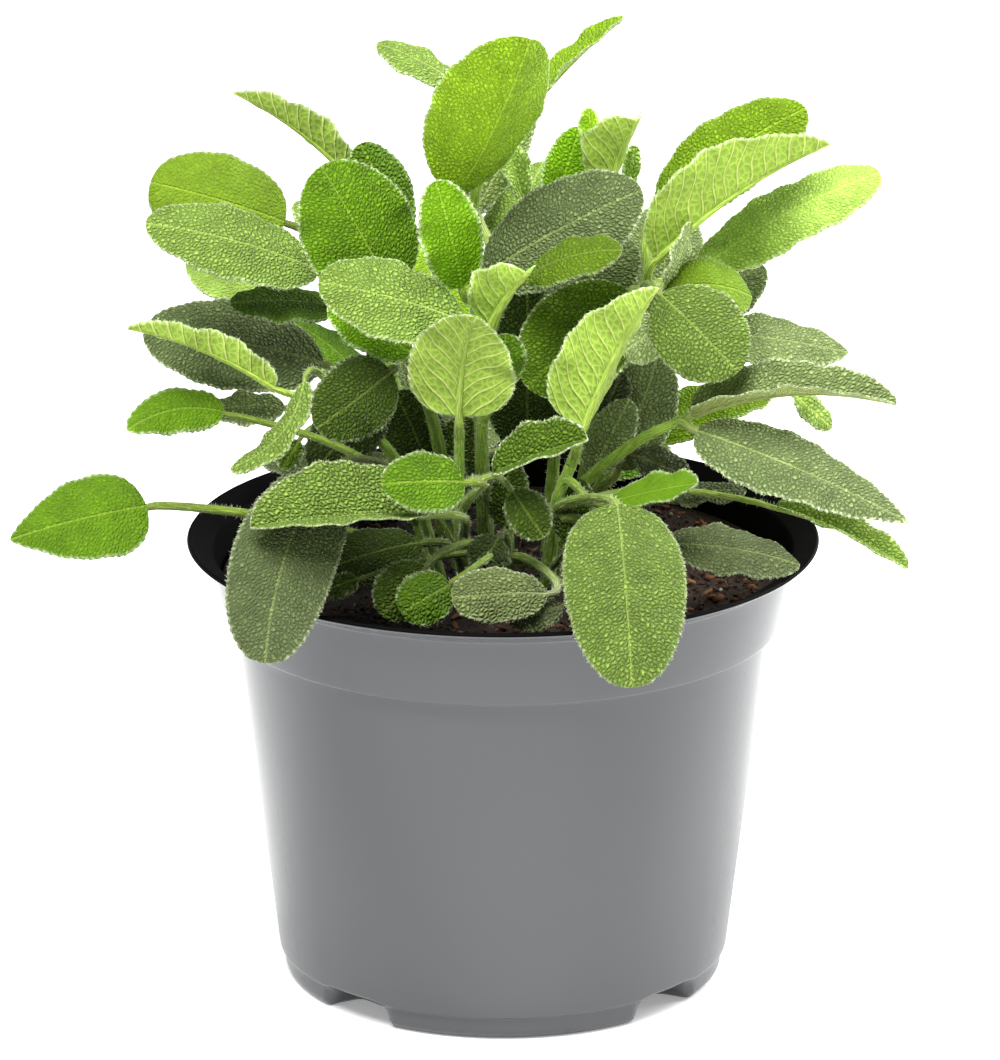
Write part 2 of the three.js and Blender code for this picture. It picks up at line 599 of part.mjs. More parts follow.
function pot() {
  const brim = POT_HEIGHT + 1;
  const hollow = notchedTurning([...POT_INSIDE, [COLLAR_TOP_RADIUS, brim], [0, brim]]);
  let made = notchedTurning([...POT_OUTSIDE, [0, POT_HEIGHT]]).subtract(hollow);
  for (let i = 0; i < NOTCH_COUNT; i++) {
    const turn = THREE.MathUtils.degToRad(FIRST_NOTCH_DEG + (360 * i) / NOTCH_COUNT);
    const hole = new THREE.BoxGeometry(DRAIN_HOLE, DRAIN_HOLE, DRAIN_HOLE);
    hole.translate(0, -(FOOT_RADIUS - NOTCH_DEPTH / 2 - 0.5), NOTCH_ROOF + DRAIN_HOLE / 2 - 1);
    hole.rotateZ(turn);
    made = made.subtract(solidOf(hole));
  }
  return made;
}

// Gentle mounds and hollows: a sum of sines that fades out towards the pot's wall and below ground.
function soilRelief(x, y, radius, z) {
  if (z < POT_HEIGHT - SOIL_BELOW_RIM - 0.1) return 0;
  const fade = 1 - THREE.MathUtils.smoothstep(radius, 45, 58);
  return SOIL_UNEVEN * fade * (Math.sin(x / 5.1 + 1) * Math.cos(y / 6.3) + 0.5 * Math.sin(y / 3.4 - x / 7));
}

// The soil follows the pot's inner side, a gap in from it, up to its own surface. It has a hole for each
// stem.
function soil(plans) {
  const top = POT_HEIGHT - SOIL_BELOW_RIM;
  const edge = COLLAR_TOP_RADIUS - WALL - SOIL_BELOW_RIM * COLLAR_SLOPE - SEAT_GAP - 0.2;
  const against = POT_INSIDE.slice(0, -2).map(([r, z, notchR = r, notchZ = z]) => {
    const inset = r > 0 ? SEAT_GAP + 0.1 : 0;
    return [r - inset, z + SEAT_GAP, notchR - inset, notchZ + SEAT_GAP];
  });
  const surface = [[edge, top - 0.6], ...SOIL_RINGS.map((radius) => [radius, top])];
  const profile = [...against, ...surface];
  let made = notchedTurning(profile, soilRelief);
  for (const plan of plans) {
    const { root, ground } = stemCurveOf(plan);
    const radius = (plan.radius + SEAT_GAP) / Math.cos(Math.PI / HOLE_SIDES);
    const below = root.clone().setZ(root.z - SEAT_GAP);
    const clear = ground.clone().setZ(ground.z + 2 * SOIL_UNEVEN + 1);
    made = made.subtract(rod([below, clear], [radius, radius], HOLE_SIDES));
  }
  return made;
}

// One body: loose scraps are dropped, and hollows that the joining sealed are filled.
function oneBody(made) {
  return made.decompose().reduce((most, body) => (body.volume() > most.volume() ? body : most));
}

function node(name, made, color, roughness) {
  const material = new THREE.MeshStandardMaterial({ color, roughness, metalness: 0, flatShading: true });
  const mesh = new THREE.Mesh(geometryOf(made), material);
  mesh.name = name;
  return mesh;
}

const pottedSage = new THREE.Group();
pottedSage.name = "potted_sage";
pottedSage.add(node("pot", pot(), "#85878a", 0.35));
pottedSage.add(node("soil", soil(Object.values(STEMS)), "#2e211a", 0.95));
for (const [name, plan] of Object.entries(STEMS)) {
  const made = oneBody(leafyStem(plan).reduce((joined, part) => joined.add(part)));
  pottedSage.add(node(name, made, "#6f9a3a", 0.75));
}

export default pottedSage;
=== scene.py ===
"""A potted sage: young stems of broad pebbled leaves in a round grey nursery pot of soil.

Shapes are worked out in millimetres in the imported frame: the origin is the middle of the pot's underside,
+Z is up and the front is towards -Y. Meshes are written in metres.
"""

from __future__ import annotations

import logging
import math
from dataclasses import dataclass, field
from enum import Enum
from itertools import combinations
from typing import Callable, Sequence

import bpy
import numpy as np
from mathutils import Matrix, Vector

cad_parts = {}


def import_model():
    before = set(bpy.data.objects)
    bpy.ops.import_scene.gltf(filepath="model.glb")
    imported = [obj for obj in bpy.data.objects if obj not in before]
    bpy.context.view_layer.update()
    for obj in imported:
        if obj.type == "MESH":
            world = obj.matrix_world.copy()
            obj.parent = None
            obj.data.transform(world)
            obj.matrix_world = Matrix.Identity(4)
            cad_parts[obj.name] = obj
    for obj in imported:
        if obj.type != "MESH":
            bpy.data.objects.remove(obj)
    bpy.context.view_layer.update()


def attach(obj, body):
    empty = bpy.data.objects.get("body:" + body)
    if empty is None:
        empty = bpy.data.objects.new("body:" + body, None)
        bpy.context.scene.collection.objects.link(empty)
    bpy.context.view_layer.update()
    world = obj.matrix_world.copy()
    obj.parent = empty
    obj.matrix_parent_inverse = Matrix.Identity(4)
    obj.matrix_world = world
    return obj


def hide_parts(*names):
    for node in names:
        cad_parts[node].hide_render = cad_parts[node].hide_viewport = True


# A range or a width and height, and a place, a direction or a colour's three shares
Two = tuple[float, float]
Three = tuple[float, float, float]

LOG = logging.getLogger("potted_sage")
MM = 0.001
BODY = "root"
# Vertices closer than this many metres are merged.
WELD_DISTANCE = 2e-6
# Each stem's draws start from the next number after this one's.
FIRST_STEM_SEED = 100

# The driving sizes of the solids: lengths in millimetres, shares, and the waves in a leaf's edge
POT_HEIGHT = 94.0
SOIL_BELOW_RIM = 8.0
STEM_DEPTH_IN_SOIL = 16.0
STEM_TAPER = 0.35
STALK_RADIUS = 0.9
STALK_SPREAD = 1.35
WAVES_PER_LEAF = 2.3

# The eye that the plant is laid out for, and that the camera stands at
EYE_DISTANCE = 1500.0
EYE_PITCH = math.radians(17.9)
RIM = np.array([0.0, 0.0, POT_HEIGHT])
EYE_UP = np.array([0.0, math.sin(EYE_PITCH), math.cos(EYE_PITCH)])
TOWARDS_EYE = np.array([0.0, -math.cos(EYE_PITCH), math.sin(EYE_PITCH)])
EYE = RIM + EYE_DISTANCE * TOWARDS_EYE
UPWARDS = np.array([0.0, 0.0, 1.0])


def linear(code: str) -> np.ndarray:
    """Turns an sRGB hex colour into linear RGB.

    Args:
        code: the colour as six hex digits after a hash sign.

    Returns:
        Three linear shares from 0 to 1: c / 12.92 below 0.04045, else ((c + 0.055) / 1.055) ** 2.4.
    """
    share = np.array([int(code[k : k + 2], 16) / 255 for k in (1, 3, 5)])
    return np.where(share <= 0.04045, share / 12.92, ((share + 0.055) / 1.055) ** 2.4)


def smoothstep(low: float, high: float, value: np.ndarray) -> np.ndarray:
    """Eases from 0 at low to 1 at high: s * s * (3 - 2 s) of the clipped share s."""
    share = np.clip((value - low) / (high - low), 0, 1)
    return share * share * (3 - 2 * share)


def unit(vectors: np.ndarray) -> np.ndarray:
    """Scales vectors on the last axis to length 1."""
    return vectors / np.maximum(np.linalg.norm(vectors, axis=-1, keepdims=True), 1e-12)


def mixed(first: np.ndarray, second: np.ndarray, share: np.ndarray) -> np.ndarray:
    """Blends two colours, or arrays of them, by an array of shares."""
    return first + (second - first) * share[..., None]


def lengths_along(line: np.ndarray) -> np.ndarray:
    """Gives the length of a line of points from its start to each of them."""
    return np.concatenate([[0.0], np.cumsum(np.linalg.norm(np.diff(line, axis=0), axis=1))])


def seen(place: Sequence[float]) -> np.ndarray:
    """Finds a point from how it looks to the eye.

    Args:
        place: millimetres right of and above the rim's middle in the view, and the point's Y.

    Returns:
        The point on the eye's line through (right, up) where its Y is the given one.
    """
    right, up, back = place
    line = RIM + EYE_UP * up + np.array([right, 0.0, 0.0]) - EYE
    return EYE + line * ((back - EYE[1]) / line[1])


def seen_all(*places: Sequence[float]) -> list[np.ndarray]:
    """Finds several points from how they look to the eye."""
    return [seen(place) for place in places]


class Tone(Enum):
    """The colours of a sage leaf by age and light: upper side, underside and stalk."""

    BRIGHT = ("#90B81C", "#7A9C2A", "#A4C048")
    LIGHT = ("#9EBE54", "#86A042", "#A8C05C")
    GREEN = ("#6C980C", "#709032", "#96B03E")
    GREY = ("#9AAC6C", "#88984E", "#A6B466")
    SILVER = ("#98A866", "#929A68", "#ACB682")
    DARK = ("#7E8E5A", "#7C8452", "#909C58")
    DEEP = ("#5E7C1A", "#5E7632", "#869C48")
    PALE = ("#84B81C", "#829E3A", "#AAC452")

    def colours(self) -> list[np.ndarray]:
        """Gives the three colours as linear RGB."""
        return [linear(code) for code in self.value]

    def seams(self) -> float:
        """How far the pebbles stand out, and their seams' painted shade: 1 on old leaves and less on fresh
        ones.
        """
        return 0.7 if self in (Tone.BRIGHT, Tone.GREEN) else 0.95


@dataclass(frozen=True)
class Leaf:
    """One leaf: where its stalk starts, where its blade lies, and its form.

    face turns the blade round its rib, arch and sweep bow the rib, cup and fold bend the halves up, heel
    and point shape its ends, wave is the edge's rise and fall, bend is how far the stalk follows the stem
    and the rib as a share of the way between them, bumps is how strongly the leaf is pebbled, in relief and
    in the painted shade of its seams, and shade makes its colours lighter or darker: partly the leaf's own
    tone, and partly painted light and painted shade for how much light reaches it.
    """

    name: str
    start: float
    foot: np.ndarray
    tip: np.ndarray
    width: float
    tone: Tone
    facing: np.ndarray
    face: float = 0.0
    arch: float = 0.06
    sweep: float = 0.0
    cup: float = -14.0
    fold: float = 0.0
    heel: float = 0.5
    point: float = 0.5
    wave: float = 0.5
    bend: float = 0.4
    bumps: float = 1.0
    shade: float = 1.0


@dataclass
class Stem:
    """One leafy stem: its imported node, where it leaves the soil, its way up, thickness and leaves."""

    name: str
    soil: Two
    through: list[np.ndarray]
    radius: float
    leaves: list[Leaf] = field(default_factory=list)


def leaf(
    name: str,
    start: float,
    foot: Sequence[float],
    tip: Sequence[float],
    width: float,
    tone: Tone,
    **form: float,
) -> Leaf:
    """Makes a leaf from how its blade's foot and tip look to the eye."""
    return Leaf(name, start, seen(foot), seen(tip), width, tone, TOWARDS_EYE, **form)


# Each stem: its node, place in the soil, way up, radius and leaves. A leaf: name, where its stalk starts,
# its blade's foot and tip as the eye sees them, its width and tone, and then its form.
# A leaf's shade is partly its own tone and partly painted light: painted shade lowers it on leaves deep in
# the plant, and painted light raises it on many near the top.
STEMS = [
    Stem("stem_tall", (-3, 3), seen_all((-5, 30, 2), (-6, 66, 0)), 1.8, [
        leaf("crown_broad", 1, (-9.9, 69, -6), (5.6, 101.6, -14), 28,
             Tone.BRIGHT, face=32, fold=-22, cup=-16, shade=0.95, bumps=0.85),
        leaf("crown_right", 1, (2.5, 84, 5), (25, 106, 10), 15,
             Tone.BRIGHT, face=-75, arch=0.04, fold=12, cup=0),
        leaf("crown_left", 1, (-9, 92, 6), (-26, 100.5, 8), 13, Tone.LIGHT, face=58),
        leaf("crown_back", 0.93, (-5.5, 67, 11), (6, 88.5, 16), 8, Tone.SILVER, face=20, shade=2),
        leaf("crown_mid", 0.7, (-8.5, 50.5, -14), (-14, 72.5, -18), 13,
             Tone.GREEN, face=14, cup=10, bumps=0.75, shade=1.35),
        leaf("centre_grey", 0.72, (-4, 53, -4), (28.5, 70.5, -8), 22, Tone.DARK, face=-24),
    ]),
    Stem("stem_back_right", (9, 8), seen_all((12, 30, 12), (18, 62, 14)), 1.6, [
        leaf("top_folded", 0.95, (4, 69, 9), (-0.4, 81, 8), 7, Tone.LIGHT, face=30, fold=25, shade=2),
        leaf("top_dark", 1, (10.5, 66, 22), (16, 83.5, 26), 10, Tone.GREEN, face=-15, shade=1.85),
        leaf("top_small", 1, (18, 78, 20), (17.5, 87.5, 22), 5, Tone.BRIGHT, face=20, bumps=0.4, shade=1.85),
        leaf("top_pale", 1, (22, 71.5, 10), (27.5, 85, 4), 16,
             Tone.PALE, face=-133, fold=35, cup=0, shade=1.5),
        leaf("top_sliver", 1, (25.5, 70.5, 16), (27, 80, 18), 4, Tone.LIGHT, face=20, shade=2),
        leaf("centre_shadow", 0.5, (8, 44, 9), (27.5, 59, 10), 18, Tone.DARK, face=-30, shade=1.2),
        leaf("centre_back", 0.3, (5, 17, 10), (5, 51, 12), 19, Tone.DEEP, heel=0.4, point=0.4, shade=0.4),
    ]),
    Stem("stem_right", (13, 2), seen_all((20, 25, 4), (29, 50, 4)), 1.8, [
        leaf("right_high", 1, (32, 67, 18), (62.3, 87.3, 22), 19,
             Tone.BRIGHT, face=-28, sweep=-0.01, shade=0.8),
        leaf("right_under", 1, (31.5, 56.5, 2), (67.5, 80, -4), 23,
             Tone.PALE, face=-122, fold=34, cup=0, point=0.75, shade=1.3),
        leaf("right_long", 0.95, (40, 54, 20), (77.5, 74, 24), 17,
             Tone.LIGHT, face=-42, heel=0.4, point=0.4, bumps=0.7, shade=1.55),
        leaf("right_thin", 1, (33.5, 51, -1), (38.3, 64, 0), 9, Tone.GREY, face=70, shade=1.65),
        leaf("right_bright", 0.98, (33.5, 50, -1), (51, 48.5, 3), 15,
             Tone.BRIGHT, face=-35, arch=0.16, bumps=0.45, shade=0.45),
        leaf("right_round", 0.95, (32.5, 49, -7), (48.3, 33, -16), 19.5, Tone.LIGHT, face=-12, shade=0.66),
        leaf("right_round_low", 0.9, (32, 43, -8), (24.5, 37, -14), 11, Tone.GREY, face=-20, shade=1.7),
        leaf("right_grey", 0.85, (42, 41.5, 4), (71, 37, 6), 15,
             Tone.GREY, face=-46, arch=0.03, point=0.65, shade=1.05),
        leaf("dark_long", 0.2, (24, 13, 0), (32, 37, 2), 15, Tone.DARK, face=10, shade=1.35),
        leaf("dark_mid", 0.15, (18, 12, -3), (26, 27.5, -4), 9.5, Tone.GREY, face=6),
        leaf("dark_small", 0.35, (20.5, 24, -3), (24.5, 33, -3), 7, Tone.DARK, shade=0.3),
        leaf("dark_low", 0.2, (27, 16, -2), (38.5, 11, -2), 8, Tone.DARK, face=-20, shade=0.4),
        leaf("centre_bumpy", 0.9, (26, 49.5, -2), (5, 30, -11), 22, Tone.DEEP, face=8, arch=0.08, shade=2),
    ]),
    Stem("stem_right_low", (10, -5), seen_all((15, 8, -8), (28, 19, -10), (37.5, 23.5, -10)), 1.7, [
        leaf("right_arch", 1, (39, 24.5, -11), (81, 26.3, -20), 15,
             Tone.GREY, face=-62, fold=35, cup=0, arch=0.09, heel=0.3),
        leaf("right_arch_low", 0.97, (60, 28.3, 0), (67.5, 21.5, 2), 5.5, Tone.LIGHT, face=-20, shade=1.2),
        leaf("right_droop", 0.95, (40, 21, -14), (83.5, 2, -30), 17,
             Tone.DARK, face=-36, arch=0.04, heel=0.42, point=0.85, shade=1.35),
    ]),
    Stem("stem_right_front", (9, -12), seen_all((11, 6, -16), (14, 14, -18)), 1.9, [
        leaf("centre_pale", 1, (16.5, 22, -25), (32, 50.5, -31), 21,
             Tone.PALE, face=-140, fold=42, cup=0, heel=0.32, point=0.8, shade=1.25),
        leaf("front_big", 0.6, (23.5, 5.8, -44), (26.5, -31.8, -76), 24.5,
             Tone.LIGHT, face=-4, arch=0.1, heel=0.38, point=0.45, bend=0.12, shade=0.63),
        leaf("front_bright", 0.8, (21.5, 6, -30), (40, 10, -40), 12,
             Tone.GREEN, face=-60, arch=0.02, cup=12, bumps=0.15, shade=0.5),
        leaf("right_hung", 0.3, (56, 5.5, -8), (83.3, -7.5, -18), 9,
             Tone.LIGHT, face=-50, fold=30, cup=0, shade=1.3),
        leaf("right_behind", 0.3, (33, 7, -2), (50, 8.5, -2), 9, Tone.GREY, face=-60, shade=0.45),
        leaf("right_inside", 0.4, (33.5, -2.2, -30), (61, -6.8, -27), 15,
             Tone.GREY, face=-50, point=0.6, shade=0.45),
        leaf("shoot_right", 0.06, (13, -2, -20), (16, 11, -16), 9, Tone.DEEP, face=-20, shade=0.6),
    ]),
    Stem("stem_centre", (-3, -9), seen_all((-4.5, 15, -12), (-3, 40, -20)), 1.7, [
        leaf("left_front", 1, (-8, 43.5, -20), (-38, 51.5, -26), 20,
             Tone.LIGHT, face=36, arch=0.05, shade=0.95),
        leaf("centre_under", 1, (-3, 43, -23), (4.8, 53.5, -30), 15,
             Tone.PALE, face=-133, fold=35, cup=0, shade=1.5),
        leaf("centre_mid", 0.85, (4.5, 52.5, -16), (24.5, 58, -22), 14,
             Tone.BRIGHT, face=-52, arch=0.1, shade=0.45),
        leaf("centre_leafy", 0.6, (0, 30, -22), (0.5, 41, -24), 9, Tone.GREEN, face=10, shade=0.8),
        leaf("centre_front", 0.3, (-2, 12.2, -34), (17.5, 19.2, -42), 13.5,
             Tone.DEEP, face=-47, fold=33, cup=0, arch=0.04, shade=1.2),
        leaf("centre_small", 0.1, (2, 8.5, -34), (8.5, -1, -42), 9, Tone.DEEP, shade=0.7),
        leaf("shoot_left", 0.06, (-9.5, 3, -18), (-12.5, 16, -16), 8, Tone.DEEP, face=20, shade=0.55),
        leaf("shoot_middle", 0.04, (0.5, 1, -14), (1.5, 15, -12), 9, Tone.DEEP, face=-10, shade=0.6),
    ]),
    Stem("stem_left_front", (-8, -12), seen_all((-9, 5, -20), (-9, 20, -27)), 1.7, [
        leaf("pale_front", 1, (-9, 24, -30), (-5.5, 44.5, -36), 22,
             Tone.PALE, face=172, cup=-8, arch=0.08, sweep=0.05, heel=0.38, point=0.6),
        leaf("left_light", 0.15, (-16, 4, -40), (-52, 1, -52), 23,
             Tone.LIGHT, face=50, fold=33, cup=0, arch=0.03, point=0.6, shade=0.75),
        leaf("front_light", 0.4, (-8, 10.5, -42), (-25, 10, -49), 13,
             Tone.GREEN, face=18, heel=0.4, shade=0.8),
        leaf("left_hang", 0.1, (-35, 13, -30), (-49, -26.8, -67), 21,
             Tone.DARK, sweep=0.065, arch=0.08, heel=0.45, point=0.42, shade=0.6, bumps=0.8),
        leaf("pot_left", 0.05, (-17, -2, -26), (-37, -8, -34), 15, Tone.DEEP, face=40, shade=0.38),
    ]),
    Stem("stem_left", (-9, 2), seen_all((-15, 25, 2), (-24, 46, 0)), 1.8, [
        leaf("left_round", 1, (-23, 49.5, -10), (-37.5, 75.5, -12), 24,
             Tone.GREEN, face=12, heel=0.42, shade=0.95),
        leaf("left_tucked", 1, (-20.5, 61, 2), (-29.5, 80, 4), 13, Tone.GREEN, face=22, shade=0.7),
        leaf("left_pale", 1, (-31, 73, 8), (-55.5, 90.5, 8), 11.5,
             Tone.PALE, face=120, fold=30, cup=0, point=0.75),
        leaf("left_top_back", 0.95, (-45, 64, 18), (-72.5, 72, 20), 21,
             Tone.BRIGHT, face=18, heel=0.4, point=0.4, bumps=0.4, shade=0.45),
        leaf("left_top", 0.95, (-38, 54, -6), (-73.5, 63.5, -14), 19,
             Tone.LIGHT, face=40, shade=0.85),
        leaf("left_gap", 0.9, (-49, 50, 16), (-65, 56.5, 18), 15,
             Tone.LIGHT, face=40, bumps=0.35, shade=0.75),
        leaf("left_green", 0.85, (-34, 46.5, -2), (-56, 47, -8), 14, Tone.GREEN, face=55, shade=0.5),
        leaf("left_inner", 0.8, (-19, 37, -12), (-36, 47, -14), 12, Tone.GREEN, face=30, shade=1.6),
        leaf("left_inner_back", 0.2, (-14, 11, 4), (-22, 29, 6), 13,
             Tone.DEEP, heel=0.4, point=0.4, shade=0.4),
        leaf("shoot_behind", 0.05, (-10, 8, 4), (-8, 24, 6), 11, Tone.DEEP, shade=0.6),
    ]),
    Stem("stem_left_mid", (-13, -5), seen_all((-20, 12, -8), (-32, 26, -10)), 1.6, [
        leaf("left_dark", 0.9, (-37, 35, 0), (-74, 41, -4), 22, Tone.DARK, face=34, shade=0.95),
        leaf("left_twisted", 1, (-47, 30, -16), (-77.5, 42, -22), 10,
             Tone.PALE, face=120, fold=30, cup=0, heel=0.4, point=0.6, shade=1.2),
        leaf("left_disc", 0.9, (-23, 33, -22), (-38.5, 21.5, -36), 16,
             Tone.DEEP, face=-8, heel=0.42, shade=0.6),
        leaf("left_disc_low", 0.8, (-25, 29, -8), (-39, 12.5, -9), 13.5, Tone.DEEP, shade=0.3),
        leaf("left_curl", 1, (-41, 31, -24), (-56, 13, -32), 9,
             Tone.LIGHT, face=55, arch=-0.02, sweep=-0.22, shade=0.8),
        leaf("left_behind", 0.95, (-45, 26, -2), (-60, 25, -4), 11, Tone.DARK, face=50, shade=1.9),
        leaf("left_tiny", 0.8, (-42, 19, -6), (-45.5, 13, -8), 5, Tone.DEEP),
    ]),
    Stem("stem_left_low", (-14, -11), seen_all((-18, 2, -16)), 1.3, [
        leaf("left_low", 1, (-57.5, 24.8, -14), (-77.3, 21, -20), 11,
             Tone.GREEN, face=30, sweep=0.1, heel=0.4, point=0.6, bumps=0.6, shade=0.7),
        leaf("far_left", 0.3, (-73.5, 5.5, -18), (-101.5, -1.5, -26), 19,
             Tone.GREEN, face=22, heel=0.4, point=0.85, bend=0.15, bumps=0.6, shade=0.65),
    ]),
    Stem("stem_front_low", (1, -22), seen_all((1, -7, -26)), 1.4, [
        leaf("pot_small", 0.6, (-30, -9.5, -42), (-37.5, -12.5, -44), 6, Tone.DEEP, face=30, shade=0.55),
        leaf("pot_dark", 0.8, (-16, -7, -44), (-25, -17, -50), 12, Tone.DEEP, shade=0.55),
        leaf("pot_round", 0.9, (-11, -10.5, -48), (-21, -16.5, -53), 11,
             Tone.GREEN, face=5, heel=0.4, point=0.4, shade=0.45),
        leaf("pot_grey", 1, (9, -12.5, -48), (-10.5, -13.5, -54), 12,
             Tone.SILVER, face=24, point=0.4, shade=0.65),
        leaf("pot_under", 0.8, (12, -15, -46), (1.5, -18.5, -50), 8, Tone.GREY, face=30, shade=0.34),
        leaf("pot_shade", 0.6, (-1, -1, -34), (-5, -8, -40), 9, Tone.DEEP, shade=0.27),
    ]),
]

# Each stem behind: its place in the soil, the places it rises through above the rim, and its way out.
BACK_STEMS = {
    "stem_back_left": ((-11, 11), ((-20, 20, 18), (-25, 27, 33)), 120),
    "stem_back_middle": ((1, 14), ((0, 28, 28), (-2, 35, 49)), 94),
    "stem_back_side": ((14, 15), ((24, 21, 12), (32, 26, 28)), 56),
}


@dataclass(frozen=True)
class BackLeaves:
    """The rule by which leaves fan out up the stems behind, the same as the solids'."""

    radius: float = 1.6
    count: int = 5
    first: float = 0.3
    turn: float = 26.0
    spread: float = 3.0
    lowest_rise: float = -1.0
    rise: float = 54.0
    stalk: float = 10.0
    length: float = 33.0
    width: float = 20.0
    shortening: float = 0.055
    size_spread: float = 0.06
    arch: float = 0.1
    face_spread: float = 10.0
    first_seed: int = 11
    draw_factor: int = 16807
    draw_range: int = 2147483647
    tones: tuple[Tone, ...] = (Tone.DARK, Tone.GREY, Tone.GREEN, Tone.BRIGHT, Tone.LIGHT)

    def draws(self, seed: int) -> Callable[[], float]:
        """Makes a source of even draws.

        Args:
            seed: the number that it starts from.

        Returns:
            A function that gives the next draw from -1 to 1, the same each time for the same seed.
        """
        state = seed

        def draw() -> float:
            """Moves the state on, which is the last one times the factor, modulo the range.

            Returns:
                The next draw.
            """
            nonlocal state
            state = (state * self.draw_factor) % self.draw_range
            return 2 * state / self.draw_range - 1

        return draw

    def stem(self, name: str, plan: tuple, index: int) -> Stem:
        """Grows one back stem.

        Args:
            name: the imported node.
            plan: its place in the soil, the places it rises through above the rim, and its way out.
            index: its number, which seeds its draws.

        Returns:
            The stem with its leaves, turning left and right of the way out and rising towards its top.
        """
        soil, through, outward = plan
        grown = Stem(name, soil, [np.array([x, y, POT_HEIGHT + z]) for x, y, z in through], self.radius)
        curve = StemCurve(grown)
        draw = self.draws(self.first_seed + index)
        for k in range(self.count):
            share = k / (self.count - 1)
            start = self.first + (1 - self.first) * share
            side = self.turn if k % 2 == 0 else -self.turn
            heading = math.radians(outward + side + self.spread * draw())
            rise = math.radians(self.lowest_rise + self.rise * share + self.spread * draw())
            flat = np.array([math.cos(heading), math.sin(heading), 0.0]) * math.cos(rise)
            way = flat + UPWARDS * math.sin(rise)
            size = 1 - self.shortening * k + self.size_spread * draw()
            foot = curve.at(start) + way * self.stalk
            tip = foot + way * self.length * size
            form = {"arch": self.arch, "face": self.face_spread * draw()}
            tone = self.tones[(k + index) % len(self.tones)]
            row = Leaf(f"{name}_leaf_{k}", start, foot, tip, self.width * size, tone, UPWARDS, **form)
            grown.leaves.append(row)
        return grown


class StemCurve:
    """A stem's middle line: a smooth curve of cubics through its places, by share of its length."""

    SAMPLES = 200
    # The share of the length to either side of a point between which its direction is taken.
    NEAR = 0.01

    def __init__(self, stem: Stem) -> None:
        """Samples the curve.

        Args:
            stem: the stem, which leaves the soil at its place and rises through its points.
        """
        x, y = stem.soil
        self.ground = np.array([x, y, POT_HEIGHT - SOIL_BELOW_RIM])
        points = [self.ground, *stem.through]
        ends = [2 * points[0] - points[1], *points, 2 * points[-1] - points[-2]]
        pieces = [self.span(*ends[k : k + 4]) for k in range(len(points) - 1)]
        self.line = np.concatenate([pieces[0], *[piece[1:] for piece in pieces[1:]]])
        self.lengths = lengths_along(self.line)

    def span(self, p0: np.ndarray, p1: np.ndarray, p2: np.ndarray, p3: np.ndarray) -> np.ndarray:
        """Works out one stretch of the curve, whose knots lie the root of the distances apart.

        For w from 0 to 1 its points are (2w^3 - 3w^2 + 1) p1 + (w^3 - 2w^2 + w) out - (2w^3 - 3w^2) p2
        + (w^3 - w^2) into.

        Args:
            p0: the place before the stretch.
            p1: where it starts.
            p2: where it ends.
            p3: the place after it.

        Returns:
            Its points, as many as SAMPLES.
        """
        knots = [math.sqrt(np.linalg.norm(b - a)) for a, b in ((p0, p1), (p1, p2), (p2, p3))]
        d0, d1, d2 = knots
        out = ((p1 - p0) / d0 - (p2 - p0) / (d0 + d1) + (p2 - p1) / d1) * d1
        into = ((p2 - p1) / d1 - (p3 - p1) / (d1 + d2) + (p3 - p2) / d2) * d1
        w = np.linspace(0, 1, self.SAMPLES)[:, None]
        rise = 2 * w**3 - 3 * w**2
        return (rise + 1) * p1 + (w**3 - 2 * w**2 + w) * out - rise * p2 + (w**3 - w**2) * into

    def at(self, share: float | np.ndarray) -> np.ndarray:
        """Gives the point at a share of the length."""
        aim = np.asarray(share) * self.lengths[-1]
        return np.stack([np.interp(aim, self.lengths, self.line[:, k]) for k in range(3)], axis=-1)

    def way(self, share: float) -> np.ndarray:
        """Gives the direction at a share of the length."""
        low, high = max(share - self.NEAR, 0.0), min(share + self.NEAR, 1.0)
        return unit(self.at(high) - self.at(low))


COLOUR_LAYER = "leaf_colour"
PLACE_LAYER = "surface_place"
VEIN_LAYER = "vein_place"
# One unit of the surface map is this many millimetres.
PLACE_UNIT = 50.0
# Each leaf's pattern is moved by up to this many millimetres, so that no two are alike.
PATTERN_SHIFT = 40.0
# A hair's direction strays by about this share of its length.
ASTRAY = 0.35
# Half a number away from a vein, and far from the rib.
NO_VEIN = np.array([0.5, 1.0])


